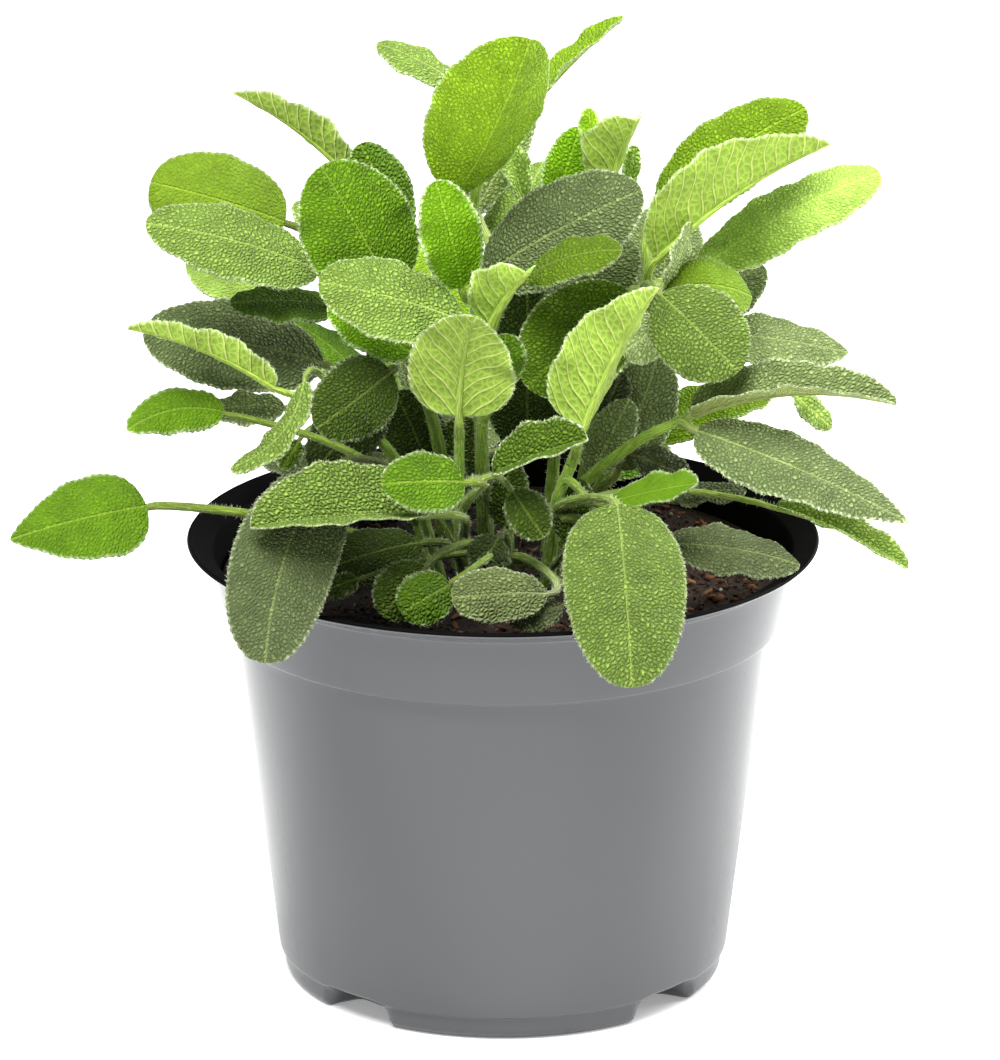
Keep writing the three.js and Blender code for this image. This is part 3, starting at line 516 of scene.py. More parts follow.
class Skin:
    """Vertices, four-cornered and three-cornered faces, colours and surface places, gathered for one mesh."""

    def __init__(self) -> None:
        """Starts empty."""
        self.points: list[np.ndarray] = []
        self.colours: list[np.ndarray] = []
        self.places: list[np.ndarray] = []
        self.bumps: list[np.ndarray] = []
        self.veins: list[np.ndarray] = []
        self.quads: list[np.ndarray] = []
        self.triangles: list[np.ndarray] = []
        self.quad_dress: list[np.ndarray] = []
        self.triangle_dress: list[np.ndarray] = []
        self.count = 0

    def add(
        self,
        points: np.ndarray,
        colours: np.ndarray,
        places: np.ndarray,
        quads: np.ndarray | None = None,
        triangles: np.ndarray | None = None,
        dress: int = 0,
        bumps: np.ndarray | float = 1.0,
        veins: np.ndarray = NO_VEIN,
    ) -> None:
        """Adds a surface.

        Args:
            points: vertices in millimetres.
            colours: linear RGB for each vertex, or one for all.
            places: two surface coordinates for each vertex, in units of PLACE_UNIT.
            quads: rows of four vertex numbers, counted from this surface's first.
            triangles: rows of three vertex numbers, likewise.
            dress: the number of the material.
            bumps: how strongly each vertex is pebbled, in relief and in painted seam shade, from 0 to 1, or
                one number for all.
            veins: the vein's number, whole on a vein, and the distance from the rib in units of PLACE_UNIT.
        """
        points = points.reshape(-1, 3)
        self.bumps.append(np.broadcast_to(np.ravel(bumps), len(points)))
        self.veins.append(np.broadcast_to(veins.reshape(-1, 2), (len(points), 2)))
        self.points.append(points)
        self.colours.append(np.broadcast_to(np.asarray(colours).reshape(-1, 3), points.shape))
        self.places.append(places.reshape(-1, 2))
        if quads is not None:
            self.quads.append(quads.reshape(-1, 4) + self.count)
            self.quad_dress.append(np.full(len(self.quads[-1]), dress))
        if triangles is not None:
            self.triangles.append(triangles.reshape(-1, 3) + self.count)
            self.triangle_dress.append(np.full(len(self.triangles[-1]), dress))
        self.count += len(points)

    def build(self, name: str, materials: list[bpy.types.Material]) -> bpy.types.Object:
        """Writes the gathered surfaces into one smooth mesh.

        Args:
            name: the object's name.
            materials: its materials, in the order of their numbers.

        Returns:
            The object, at the origin, in metres, with a colour attribute and a surface map.
        """
        quads = np.concatenate(self.quads) if self.quads else np.zeros((0, 4), int)
        triangles = np.concatenate(self.triangles) if self.triangles else np.zeros((0, 3), int)
        corners = np.concatenate([quads.ravel(), triangles.ravel()]).astype(np.int32)
        totals = np.concatenate([np.full(len(quads), 4), np.full(len(triangles), 3)])
        starts = np.concatenate([[0], np.cumsum(totals)[:-1]]).astype(np.int32)
        dress = np.concatenate([*self.quad_dress, *self.triangle_dress]).astype(np.int32)
        points = np.concatenate(self.points) * MM
        mesh = bpy.data.meshes.new(name)
        mesh.vertices.add(len(points))
        mesh.vertices.foreach_set("co", points.astype(np.float32).ravel())
        mesh.loops.add(len(corners))
        mesh.loops.foreach_set("vertex_index", corners)
        mesh.polygons.add(len(totals))
        mesh.polygons.foreach_set("loop_start", starts)
        mesh.polygons.foreach_set("material_index", dress)
        mesh.polygons.foreach_set("use_smooth", np.ones(len(totals), bool))
        mesh.update(calc_edges=True)
        shades = np.concatenate([np.concatenate(self.colours), np.concatenate(self.bumps)[:, None]], axis=1)
        colour = mesh.color_attributes.new(COLOUR_LAYER, "FLOAT_COLOR", "POINT")
        colour.data.foreach_set("color", shades.astype(np.float32).ravel())
        for layer, maps in ((PLACE_LAYER, self.places), (VEIN_LAYER, self.veins)):
            surface = mesh.uv_layers.new(name=layer)
            surface.data.foreach_set("uv", np.concatenate(maps)[corners].astype(np.float32).ravel())
        mesh.validate()
        piece = bpy.data.objects.new(name, mesh)
        bpy.context.scene.collection.objects.link(piece)
        for material in materials:
            mesh.materials.append(material)
        return piece


def grid_quads(rows: int, columns: int) -> np.ndarray:
    """Numbers the faces of a grid of vertices kept row by row, turning from the columns to the rows."""
    start = np.arange(rows - 1)[:, None] * columns + np.arange(columns - 1)[None, :]
    return np.stack([start, start + 1, start + columns + 1, start + columns], axis=-1).reshape(-1, 4)


def ring_quads(rings: int, sides: int) -> np.ndarray:
    """Numbers the faces of a tube of rings kept ring by ring.

    Args:
        rings: the number of rings.
        sides: the vertices in each.

    Returns:
        Rows of four vertex numbers.
    """
    k = np.arange(sides)
    start = np.arange(rings - 1)[:, None] * sides
    low, after = start + k, start + (k + 1) % sides
    return np.stack([low, after, after + sides, low + sides], axis=-1).reshape(-1, 4)


@dataclass(frozen=True)
class Tube:
    """A round tube along a line, closed at both ends.

    Its surface pattern is stretched along it. Where its line is all but straight, the direction that its
    rings start from is worked out with the spare one.
    """

    sides: int
    stretch: float = 9.0
    straight: float = 0.05
    spare: Three = (0.31, -0.9, 0.3)

    def rings(self, line: np.ndarray, radii: np.ndarray) -> tuple[np.ndarray, np.ndarray]:
        """Lays a ring at each point: centre + radius * (cos a * side + sin a * up).

        Args:
            line: the points along the middle.
            radii: the radius at each.

        Returns:
            The ring points and the outward directions, both rings by sides by 3.
        """
        along = unit(np.gradient(line, axis=0))
        across = np.cross(along[0], along[-1])
        if np.linalg.norm(across) < self.straight:
            across = np.cross(along[0], self.spare)
        side = unit(across - along * (along @ across)[:, None])
        up = np.cross(along, side)
        turn = 2 * np.pi * np.arange(self.sides) / self.sides
        out = side[:, None] * np.cos(turn)[:, None] + up[:, None] * np.sin(turn)[:, None]
        return line[:, None] + out * radii[:, None, None], out

    def add(self, skin: Skin, line: np.ndarray, radii: np.ndarray, colours: np.ndarray, dress: int) -> None:
        """Adds the tube to a skin, with a fan of three-cornered faces over each end.

        Args:
            skin: where it goes.
            line: the points along the middle, in millimetres.
            radii: the radius at each.
            colours: linear RGB at each.
            dress: the number of its material.
        """
        points, _ = self.rings(line, radii)
        count = len(line)
        ends = np.stack([line[0], line[-1]])
        k = np.arange(self.sides)
        round_way = k / self.sides * 2 * np.pi * radii.max()
        drawn_out = lengths_along(line) / self.stretch
        places = np.stack(np.broadcast_arrays(drawn_out[:, None], round_way[None, :]), axis=-1) / PLACE_UNIT
        after = (k + 1) % self.sides
        last = (count - 1) * self.sides
        low_end = np.stack([np.full(self.sides, count * self.sides), after, k], axis=-1)
        high_end = np.stack([np.full(self.sides, count * self.sides + 1), last + k, last + after], axis=-1)
        shades = np.repeat(colours, self.sides, axis=0)
        skin.add(
            np.concatenate([points.reshape(-1, 3), ends]),
            np.concatenate([shades, colours[[0, -1]]]),
            np.concatenate([places.reshape(-1, 2), np.zeros((2, 2))]),
            quads=ring_quads(count, self.sides),
            triangles=np.concatenate([low_end, high_end]),
            dress=dress,
        )


@dataclass(frozen=True)
class Fuzz:
    """Fine hairs, each a three-sided spike set a little into what it grows from.

    Their thickness is the spike's radius at its foot. Real down is finer, and is drawn as coarse as it
    needs to show. Their colour is that of light caught in down. A spike's sides are worked out from the
    upright, or from another direction where it stands steeper than steep.
    """

    thickness: float = 0.045
    colour: str = "#E4EDC8"
    set_in: float = 0.1
    steep: float = 0.8

    def add(self, skin: Skin, roots: np.ndarray, ways: np.ndarray, lengths: np.ndarray, dress: int) -> None:
        """Adds a spike for each root.

        Args:
            skin: where they go.
            roots: the points they grow from, in millimetres.
            ways: their directions.
            lengths: their lengths.
            dress: the number of their material.
        """
        ways = unit(ways)
        helper = np.where(np.abs(ways[:, 2:]) < self.steep, UPWARDS, np.array([1.0, 0.0, 0.0]))
        side = unit(np.cross(ways, helper))
        up = np.cross(ways, side)
        turn = 2 * np.pi * np.arange(3) / 3
        base = side[:, None] * np.cos(turn)[:, None] + up[:, None] * np.sin(turn)[:, None]
        corners = (roots - self.set_in * ways)[:, None] + base * self.thickness
        tips = (roots + ways * lengths[:, None])[:, None]
        points = np.concatenate([corners, tips], axis=1)
        first = 4 * np.arange(len(roots))[:, None, None]
        spike = np.array([[0, 1, 3], [1, 2, 3], [2, 0, 3], [0, 2, 1]])
        places = np.zeros((points.shape[0] * 4, 2))
        skin.add(points, linear(self.colour), places, triangles=spike[None] + first, dress=dress)


class Dress(Enum):
    """The numbers of a leafy stem's materials."""

    UPPER = 0
    UNDER = 1
    STALK = 2
    DOWN = 3


@dataclass(frozen=True)
class Blade:
    """A sage leaf's blade: a thin closed sheet, pebbled above, with raised veins below and a toothed edge.

    Sizes are in millimetres. Its grid steps by grain along the rib and side_grain across it, within the
    least and most rows and half-columns, and closes up towards its ends and edges. The teeth have their full
    size where the half is wider than toothed, and the edge's ripples where it is wider than rippled.
    """

    grain: float = 0.45
    side_grain: float = 0.75
    rows: tuple[int, int] = (20, 120)
    half_columns: tuple[int, int] = (4, 24)
    evenness: float = 0.45
    crowding: float = 0.3
    end: float = 0.0006
    thickness: float = 0.5
    edge_thickness: float = 0.24
    tooth: float = 0.38
    tooth_length: float = 1.5
    toothed: float = 1.5
    ripple: float = 0.35
    ripple_length: float = 6.5
    rippled: float = 5.0
    edge_shift: float = 2.0
    # The side veins: how far apart they leave the rib, on a pale leaf's underside too, how they slope and
    # curve to the tip, how far a half's veins start after the other's, and how a pattern leans with them.
    vein_spacing: float = 2.2
    pale_spacing: float = 1.4
    vein_slope: float = 0.72
    vein_curve: float = 0.02
    vein_slant: float = 0.8
    stagger: float = 0.42
    lean: float = 0.3
    # Where the side veins start from the rib and end at the edge, and where the rib fades along the leaf
    vein_start: Two = (0.0, 1.2)
    vein_end: Two = (0.2, 2.5)
    rib_fade: Two = (1.03, 0.45)
    # How wide the veins and the rib are, how deep they sink above and how far they stand out below
    vein_width: float = 0.34
    rib_width: float = 0.42
    vein_sunk: float = 0.16
    vein_raised: float = 0.24
    rib_relief: float = 0.3
    puff: float = 0.1
    # The down: its colour, which is partly the down's own whitish colour and partly painted light caught in
    # it, how strongly it whitens the edge above and below, how wide that band is at its full and at its end,
    # how strongly it is dotted and smooths the pebbles, how far apart its hairs stand, how long they are, how
    # far they tilt up or down, and between which shares of the way they stand
    lit_down_colour: str = "#DDE8BC"
    whitening: Two = (0.85, 0.6)
    rim: Two = (0.12, 0.7)
    dotting: float = 0.45
    smoothing: float = 0.5
    hair_spacing: float = 0.3
    hair_length: Two = (0.25, 0.6)
    hair_tilt: float = 0.5
    hair_ends: Two = (0.02, 0.99)
    underside_strength: float = 0.8

    def surface(self, row: Leaf, t: np.ndarray, u: np.ndarray) -> tuple[np.ndarray, np.ndarray, np.ndarray]:
        """Works out the blade's middle surface.

        The rib is foot + axis * t * length + (n * arch + s * sweep) * 4t(1 - t) * length. Half the width is
        t ** heel * (1 - t) ** point, scaled to its widest, and teeth stand on the edge as the sixth power of
        the share across. A half rises from the rib by the fold and, more towards the edge, by the cup, and
        its edge waves as the square of that share and ripples as its cube.

        Args:
            row: the leaf.
            t: shares along the blade, a column.
            u: shares across from -1 to 1, a row.

        Returns:
            The points, their outward upper normals, and the distance from the rib in millimetres.
        """
        axis = row.tip - row.foot
        length = float(np.linalg.norm(axis))
        axis = axis / length
        side = unit(np.cross(axis, row.facing))
        upper = np.cross(side, axis)
        turn = math.radians(row.face)
        n = upper * math.cos(turn) + side * math.sin(turn)
        s = side * math.cos(turn) - upper * math.sin(turn)
        bow = 4 * t * (1 - t) * length
        rib = row.foot + axis * (t * length)[..., None] + (n * row.arch + s * row.sweep) * bow[..., None]
        slope = 4 * (1 - 2 * t)[..., None]
        along = unit(axis + (n * row.arch + s * row.sweep) * slope)
        flat = unit(s - along * (along @ s)[..., None])
        normal = np.cross(flat, along)
        widest = row.heel / (row.heel + row.point)
        most = widest**row.heel * (1 - widest) ** row.point
        half = row.width / 2 * t**row.heel * (1 - t) ** row.point / most
        tooth = self.tooth * (np.abs(np.sin(np.pi * t * length / self.tooth_length)) - 0.5)
        reach = half * np.abs(u) + tooth * np.minimum(1, half / self.toothed) * np.abs(u) ** 6
        crease = np.radians(row.fold + row.cup * np.abs(u) / 2)
        phase = np.where(u > 0, 0.0, self.edge_shift)
        wave = row.wave * u * u * np.sin(2 * np.pi * WAVES_PER_LEAF * t + phase)
        turns = 2 * np.pi * t * length / self.ripple_length
        ripple = self.ripple * np.abs(u) ** 3 * np.sin(turns + 2 * phase)
        lift = reach * np.sin(crease) + (wave + ripple * np.minimum(1, half / self.rippled)) * 4 * t * (1 - t)
        out = np.sign(u) * reach * np.cos(crease)
        points = rib + flat * out[..., None] + normal * lift[..., None]
        normals = unit(np.cross(np.gradient(points, axis=1), np.gradient(points, axis=0)))
        return points, normals, np.sign(u) * reach

    def grid(self, length: float, width: float) -> tuple[np.ndarray, np.ndarray]:
        """Lays the grid: even and cosine steps along it, mixed by evenness, and smaller ones at its edges.

        Args:
            length: the blade's length in millimetres.
            width: its width.

        Returns:
            The shares along it from 0 to 1 and across it from -1 to 1, at each vertex.
        """
        rows = int(np.clip(length / self.grain, *self.rows))
        columns = 2 * int(np.clip(width / self.side_grain / 2, *self.half_columns)) + 1
        even = np.linspace(0, 1, rows)
        eased = (1 - np.cos(np.pi * even)) / 2
        steps = self.evenness * even + (1 - self.evenness) * eased
        along = self.end + (1 - 2 * self.end) * steps
        share = np.linspace(-1, 1, columns)
        across = (1 + self.crowding) * share - self.crowding * share**3
        t, u = np.meshgrid(along, across, indexing="ij")
        return t, u

    def vein_numbers(
        self,
        x: np.ndarray,
        across: np.ndarray,
        spacing: float,
        draw: np.random.Generator,
    ) -> np.ndarray:
        """Numbers the side veins: whole on a vein, and in between by the share of the way to the next.

        The number is (x - slope * far - curve * far ** 2) / spacing, with two drawn sines added.

        Args:
            x: millimetres along the rib.
            across: millimetres from the rib, with its sign.
            spacing: millimetres between the veins along the rib.
            draw: the source of the sines' phases.

        Returns:
            The numbers.
        """
        wander = 0.12 * np.sin(0.9 * across + draw.uniform(0, 6)) + 0.1 * np.sin(0.5 * x + draw.uniform(0, 6))
        sloped = x - self.vein_slope * np.abs(across) - self.vein_curve * across**2
        return sloped / spacing + wander + np.where(across > 0, 0.0, self.stagger)

    def add(self, skin: Skin, row: Leaf, draw: np.random.Generator) -> None:
        """Adds a leaf's blade and the down on its edge.

        Above, the sheet puffs up between a sunken rib and sunken side veins, which leave the rib every
        vein_spacing and curve towards the tip. Below, the same veins stand out. They fade towards the rib
        and the edge, and the rib towards the tip. The leaf's colour is paler on a dotted band along the edge,
        where the down is thick: partly the down's own whitish colour and partly painted light caught in it.

        Args:
            skin: where it goes.
            row: the leaf.
            draw: the source of the hairs' places and the pattern's shift.
        """
        length = float(np.linalg.norm(row.tip - row.foot))
        t, u = self.grid(length, row.width)
        points, normals, across = self.surface(row, t, u)
        x = t * length
        far = np.abs(across)
        margin = far.max(axis=1, keepdims=True) - far
        fade = 1 - np.abs(u) ** 10
        spacing = self.vein_spacing * (self.pale_spacing if row.tone is Tone.PALE else 1.0)
        phase = self.vein_numbers(x, across, spacing, draw)
        gap = np.abs(phase - np.round(phase)) * spacing * self.vein_slant
        inner = smoothstep(*self.vein_start, far) * smoothstep(*self.vein_end, margin)
        vein = np.exp(-((gap / self.vein_width) ** 2)) * inner
        rib = np.exp(-((across / self.rib_width) ** 2)) * smoothstep(*self.rib_fade, t)
        puff = np.cos(2 * np.pi * phase) * inner
        thick = (self.edge_thickness + (self.thickness - self.edge_thickness) * fade) / 2
        sunk = self.vein_sunk * vein + self.puff * puff + self.rib_relief * rib
        above = thick - sunk * fade * row.bumps
        below = thick + (self.vein_raised * vein + self.rib_relief * rib) * fade
        top, under, _ = row.tone.colours()
        # The dotted pale band along the edge is partly the down's own whitish colour and partly painted light
        # caught in it.
        full, end = self.rim
        dots = 1 - self.dotting + self.dotting * np.sin(2 * np.pi * x / self.tooth_length)
        rim = smoothstep(end, full, margin) * dots
        pale = linear(self.lit_down_colour)
        lit, shaded = (mixed(own, pale, part * rim) for own, part in zip((top, under), self.whitening))
        shift = draw.uniform(0, PATTERN_SHIFT, 2)
        places = (np.stack([x - self.lean * far, across], axis=-1) + shift) / PLACE_UNIT
        upper, lower = points + normals * above[..., None], points - normals * below[..., None]
        # The pebbles' strength sets both their relief and the painted shade in their seams.
        pebbled = row.bumps * row.tone.seams() * (1 - self.smoothing * rim)
        netted = np.full(x.shape, self.underside_strength)
        veins = np.stack([phase, across / PLACE_UNIT], axis=-1)
        # A leaf's shade scales its colours: partly its own tone, partly painted light and painted shade.
        shades = (lit * row.shade, shaded * row.shade)
        self.close(skin, (upper, lower), shades, places, (pebbled, netted), veins)
        self.edge_down(skin, points, normals, x, draw)

    def close(
        self,
        skin: Skin,
        sides: tuple[np.ndarray, np.ndarray],
        shades: tuple[np.ndarray, np.ndarray],
        places: np.ndarray,
        bumps: tuple[np.ndarray, np.ndarray],
        veins: np.ndarray,
    ) -> None:
        """Joins the two sides round their edge into one closed sheet, and adds it to the skin.

        Args:
            skin: where it goes.
            sides: the grids of points of the upper side and the underside.
            shades: the linear RGB of each side at each point.
            places: the surface coordinates, the same for both sides.
            bumps: how strongly each side is pebbled.
            veins: the vein's number and the distance from the rib, the same for both sides.
        """
        rows, columns = sides[0].shape[:2]
        size = rows * columns
        face = grid_quads(rows, columns)
        number = np.arange(size).reshape(rows, columns)
        left, right, foot, tip = number[:, 0], number[:, -1], number[0], number[-1]
        edges = np.concatenate(
            [
                np.stack([left[:-1], left[1:], left[1:] + size, left[:-1] + size], axis=-1),
                np.stack([right[:-1], right[:-1] + size, right[1:] + size, right[1:]], axis=-1),
                np.stack([foot[:-1], foot[:-1] + size, foot[1:] + size, foot[1:]], axis=-1),
                np.stack([tip[:-1], tip[1:], tip[1:] + size, tip[:-1] + size], axis=-1),
            ]
        )
        both = np.concatenate([side.reshape(-1, 3) for side in sides])
        colours = np.concatenate([shade.reshape(-1, 3) for shade in shades])
        twice = np.concatenate([places.reshape(-1, 2)] * 2)
        strength = np.concatenate([np.ravel(bump) for bump in bumps])
        outside = np.concatenate([face, edges])
        lines = np.concatenate([veins.reshape(-1, 2)] * 2)
        skin.add(both, colours, twice, quads=outside, dress=Dress.UPPER.value, bumps=strength, veins=lines)
        # The underside's faces run over the second half of the vertices, turned over, in their own material.
        skin.quads.append(face[:, ::-1] + skin.count - size)
        skin.quad_dress.append(np.full(len(face), Dress.UNDER.value))

    def edge_down(
        self,
        skin: Skin,
        points: np.ndarray,
        normals: np.ndarray,
        x: np.ndarray,
        draw: np.random.Generator,
    ) -> None:
        """Adds the short pale down along both edges, a hair about every hair_spacing.

        A hair points away from the rib, by up to hair_tilt of that up or down, and ASTRAY of it elsewhere.

        Args:
            skin: where it goes.
            points: the grid of the blade's middle surface.
            normals: its upper normals.
            x: millimetres along the rib at each point.
            draw: the source of the hairs' places, directions and lengths.
        """
        length = float(x.max())
        for column, inward in ((0, 1), (-1, -2)):
            count = int(length / self.hair_spacing) + 4
            at = draw.uniform(*self.hair_ends, count) * (len(points) - 1)
            low = np.floor(at).astype(int)
            part = (at - low)[:, None]
            high = np.minimum(low + 1, len(points) - 1)
            roots = points[low, column] * (1 - part) + points[high, column] * part
            out = unit(points[low, column] - points[low, inward])
            ways = out + self.hair_tilt * normals[low, column] * draw.uniform(-1, 1, (count, 1))
            ways = ways + ASTRAY * draw.normal(size=(count, 3))
            Fuzz().add(skin, roots, ways, draw.uniform(*self.hair_length, count), Dress.DOWN.value)


@dataclass(frozen=True)
class SageMaker:
    """Builds the leafy stems, each in one mesh.

    A stalk's radius is STALK_RADIUS times thinnest plus the leaf's width over full_width, and no more than
    STALK_RADIUS. Its end lies stalk_sunk under the blade's foot, at stalk_end of that radius. Under the blade
    it narrows by the two shares of rib_taper, and lies as deep under the middle surface, read between the two
    sides of rib_strip, as rib_depth and rib_share of its radius.
    """

    stalk_steps: int = 16
    rib_steps: int = 14
    rib_ends: Two = (0.004, 0.93)
    rib_taper: Two = (0.85, 0.16)
    rib_depth: float = 0.1
    rib_share: float = 0.75
    rib_strip: Two = (-0.02, 0.02)
    thinnest: float = 0.45
    full_width: float = 30.0
    stalk_end: float = 0.95
    stalk_sunk: float = 0.2
    stem_steps: int = 40
    buried_steps: int = 4
    joints: float = 4.3
    joint_swell: float = 0.08
    hairs_per_mm: float = 6.0
    hair_length: Two = (0.35, 0.9)
    stem_sides: int = 12
    stalk_sides: int = 8
    # The stem's colour at its foot is painted shade, darker towards the soil.
    shaded_stem_foot: str = "#4C6020"
    stem_top: str = "#92B444"
    blade: Blade = Blade()
    fuzz: Fuzz = Fuzz(thickness=0.04)

    def bark(self, rise: np.ndarray) -> np.ndarray:
        """Gives a stem's colour at shares of its way up, darker towards the soil by painted shade and paler
        by the root of the share.
        """
        return mixed(linear(self.shaded_stem_foot), linear(self.stem_top), np.sqrt(rise))

    def stalk(self, skin: Skin, row: Leaf, curve: StemCurve, draw: np.random.Generator) -> None:
        """Adds a leaf's stalk, which runs on under the blade as its rib, with down on it.

        The stalk is a cubic from the stem, leaving along it, to the blade's foot, arriving along the rib.
        Its radius falls from STALK_SPREAD of its own at the stem, and on under the blade to rib_taper.

        Args:
            skin: where it goes.
            row: the leaf.
            curve: the stem's middle line.
            draw: the source of the hairs' places.
        """
        strip = np.meshgrid(np.linspace(*self.rib_ends, self.rib_steps), self.rib_strip, indexing="ij")
        under, normals, _ = self.blade.surface(row, *strip)
        rib, normal = under.mean(axis=1), unit(normals.mean(axis=1))
        radius = STALK_RADIUS * min(1.0, self.thinnest + row.width / self.full_width)
        thin = radius * np.linspace(*self.rib_taper, self.rib_steps)
        beneath = rib - normal * (self.rib_depth + thin * self.rib_share)[:, None]
        start, end = curve.at(row.start), row.foot - normal[0] * self.stalk_sunk
        reach = row.bend * float(np.linalg.norm(end - start))
        arrive = end - unit(rib[1] - rib[0]) * reach
        lead = start + curve.way(row.start) * reach
        w = np.linspace(0, 1, self.stalk_steps)[:, None]
        path = start * (1 - w) ** 3 + 3 * lead * w * (1 - w) ** 2 + 3 * arrive * w**2 * (1 - w) + end * w**3
        line = np.concatenate([path[:-1], beneath])
        thick = radius * np.linspace(STALK_SPREAD, self.stalk_end, self.stalk_steps)
        radii = np.concatenate([thick[:-1], thin])
        # The leaf's shade scales its stalk's colours too: partly its own tone, partly painted light and
        # shade.
        _, under_colour, fresh = row.tone.colours() * np.array(row.shade)
        # The stalk starts from the stem's colour there, which is painted darker towards the soil.
        young = mixed(self.bark(np.array([row.start])), fresh, np.linspace(0, 1, self.stalk_steps - 1))
        beyond = mixed(fresh, (fresh + under_colour) / 2, np.linspace(0, 1, self.rib_steps))
        tube = Tube(sides=self.stalk_sides)
        tube.add(skin, line, radii, np.concatenate([young, beyond]), Dress.STALK.value)
        self.down(skin, tube, path, radii[: self.stalk_steps], draw)

    def down(
        self,
        skin: Skin,
        tube: Tube,
        line: np.ndarray,
        radii: np.ndarray,
        draw: np.random.Generator,
    ) -> None:
        """Scatters fine hairs over a tube, each pointing out and ASTRAY of that elsewhere.

        Args:
            skin: where they go.
            tube: the tube's form.
            line: the points along its middle.
            radii: the radius at each.
            draw: the source of the hairs' places, directions and lengths.
        """
        points, out = tube.rings(line, radii[: len(line)])
        count = int(lengths_along(line)[-1] * self.hairs_per_mm)
        ring = draw.integers(0, len(line) - 1, count)
        part = draw.uniform(0, 1, (count, 1))
        side = draw.integers(0, tube.sides, count)
        roots = points[ring, side] * (1 - part) + points[ring + 1, side] * part
        ways = out[ring, side] + ASTRAY * draw.normal(size=(count, 3))
        self.fuzz.add(skin, roots, ways, draw.uniform(*self.hair_length, count), Dress.DOWN.value)

    def stem(self, plan: Stem, materials: list[bpy.types.Material], seed: int) -> bpy.types.Object:
        """Builds one leafy stem, whose radius swells a little at its joints.

        Args:
            plan: the stem and its leaves.
            materials: blade, underside, stalk and down.
            seed: for its draws.

        Returns:
            The stem's piece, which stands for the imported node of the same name.
        """
        draw = np.random.default_rng(seed)
        skin = Skin()
        curve = StemCurve(plan)
        root = curve.ground - UPWARDS * STEM_DEPTH_IN_SOIL
        buried = np.linspace(root, curve.ground, self.buried_steps + 1)[:-1]
        line = np.concatenate([buried, curve.at(np.linspace(0, 1, self.stem_steps))])
        rise = np.linspace(0, 1, len(line))
        joints = self.joint_swell * np.maximum(0, np.sin(2 * np.pi * rise * self.joints)) ** 6
        radii = plan.radius * (1 - STEM_TAPER * rise) * (1 - self.joint_swell + joints)
        tube = Tube(sides=self.stem_sides)
        # The stem's colour darkens towards the soil by painted shade.
        tube.add(skin, line, radii, self.bark(rise), Dress.STALK.value)
        bare = self.buried_steps + 1
        self.down(skin, tube, line[bare:], radii[bare:], draw)
        for row in plan.leaves:
            self.stalk(skin, row, curve, draw)
            self.blade.add(skin, row, draw)
        piece = skin.build(f"leafy_{plan.name}", materials)
        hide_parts(plan.name)
        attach(piece, BODY)
        return piece


# A corner's curve takes up at most this share of the way to the next corner.
MOST_ROUNDED = 0.45


def rounded(profile: list[list[float]], reach: float, steps: int) -> np.ndarray:
    """Rounds the corners of a profile.

    Args:
        profile: rows of numbers, each a corner.
        reach: how far from a corner its curve starts.
        steps: the points on each curve, a quadratic from one side of the corner to the other.

    Returns:
        The rows with every inner corner replaced by its curve.
    """
    corners = np.array(profile, float)
    rows = [corners[:1]]
    w = np.linspace(0, 1, steps)[:, None]
    for before, corner, after in zip(corners[:-2], corners[1:-1], corners[2:]):
        lead = corner + (before - corner) * min(MOST_ROUNDED, reach / np.linalg.norm(before - corner))
        leave = corner + (after - corner) * min(MOST_ROUNDED, reach / np.linalg.norm(after - corner))
        rows.append(lead * (1 - w) ** 2 + 2 * corner * w * (1 - w) + leave * w**2)
    rows.append(corners[-1:])
    return np.concatenate(rows)


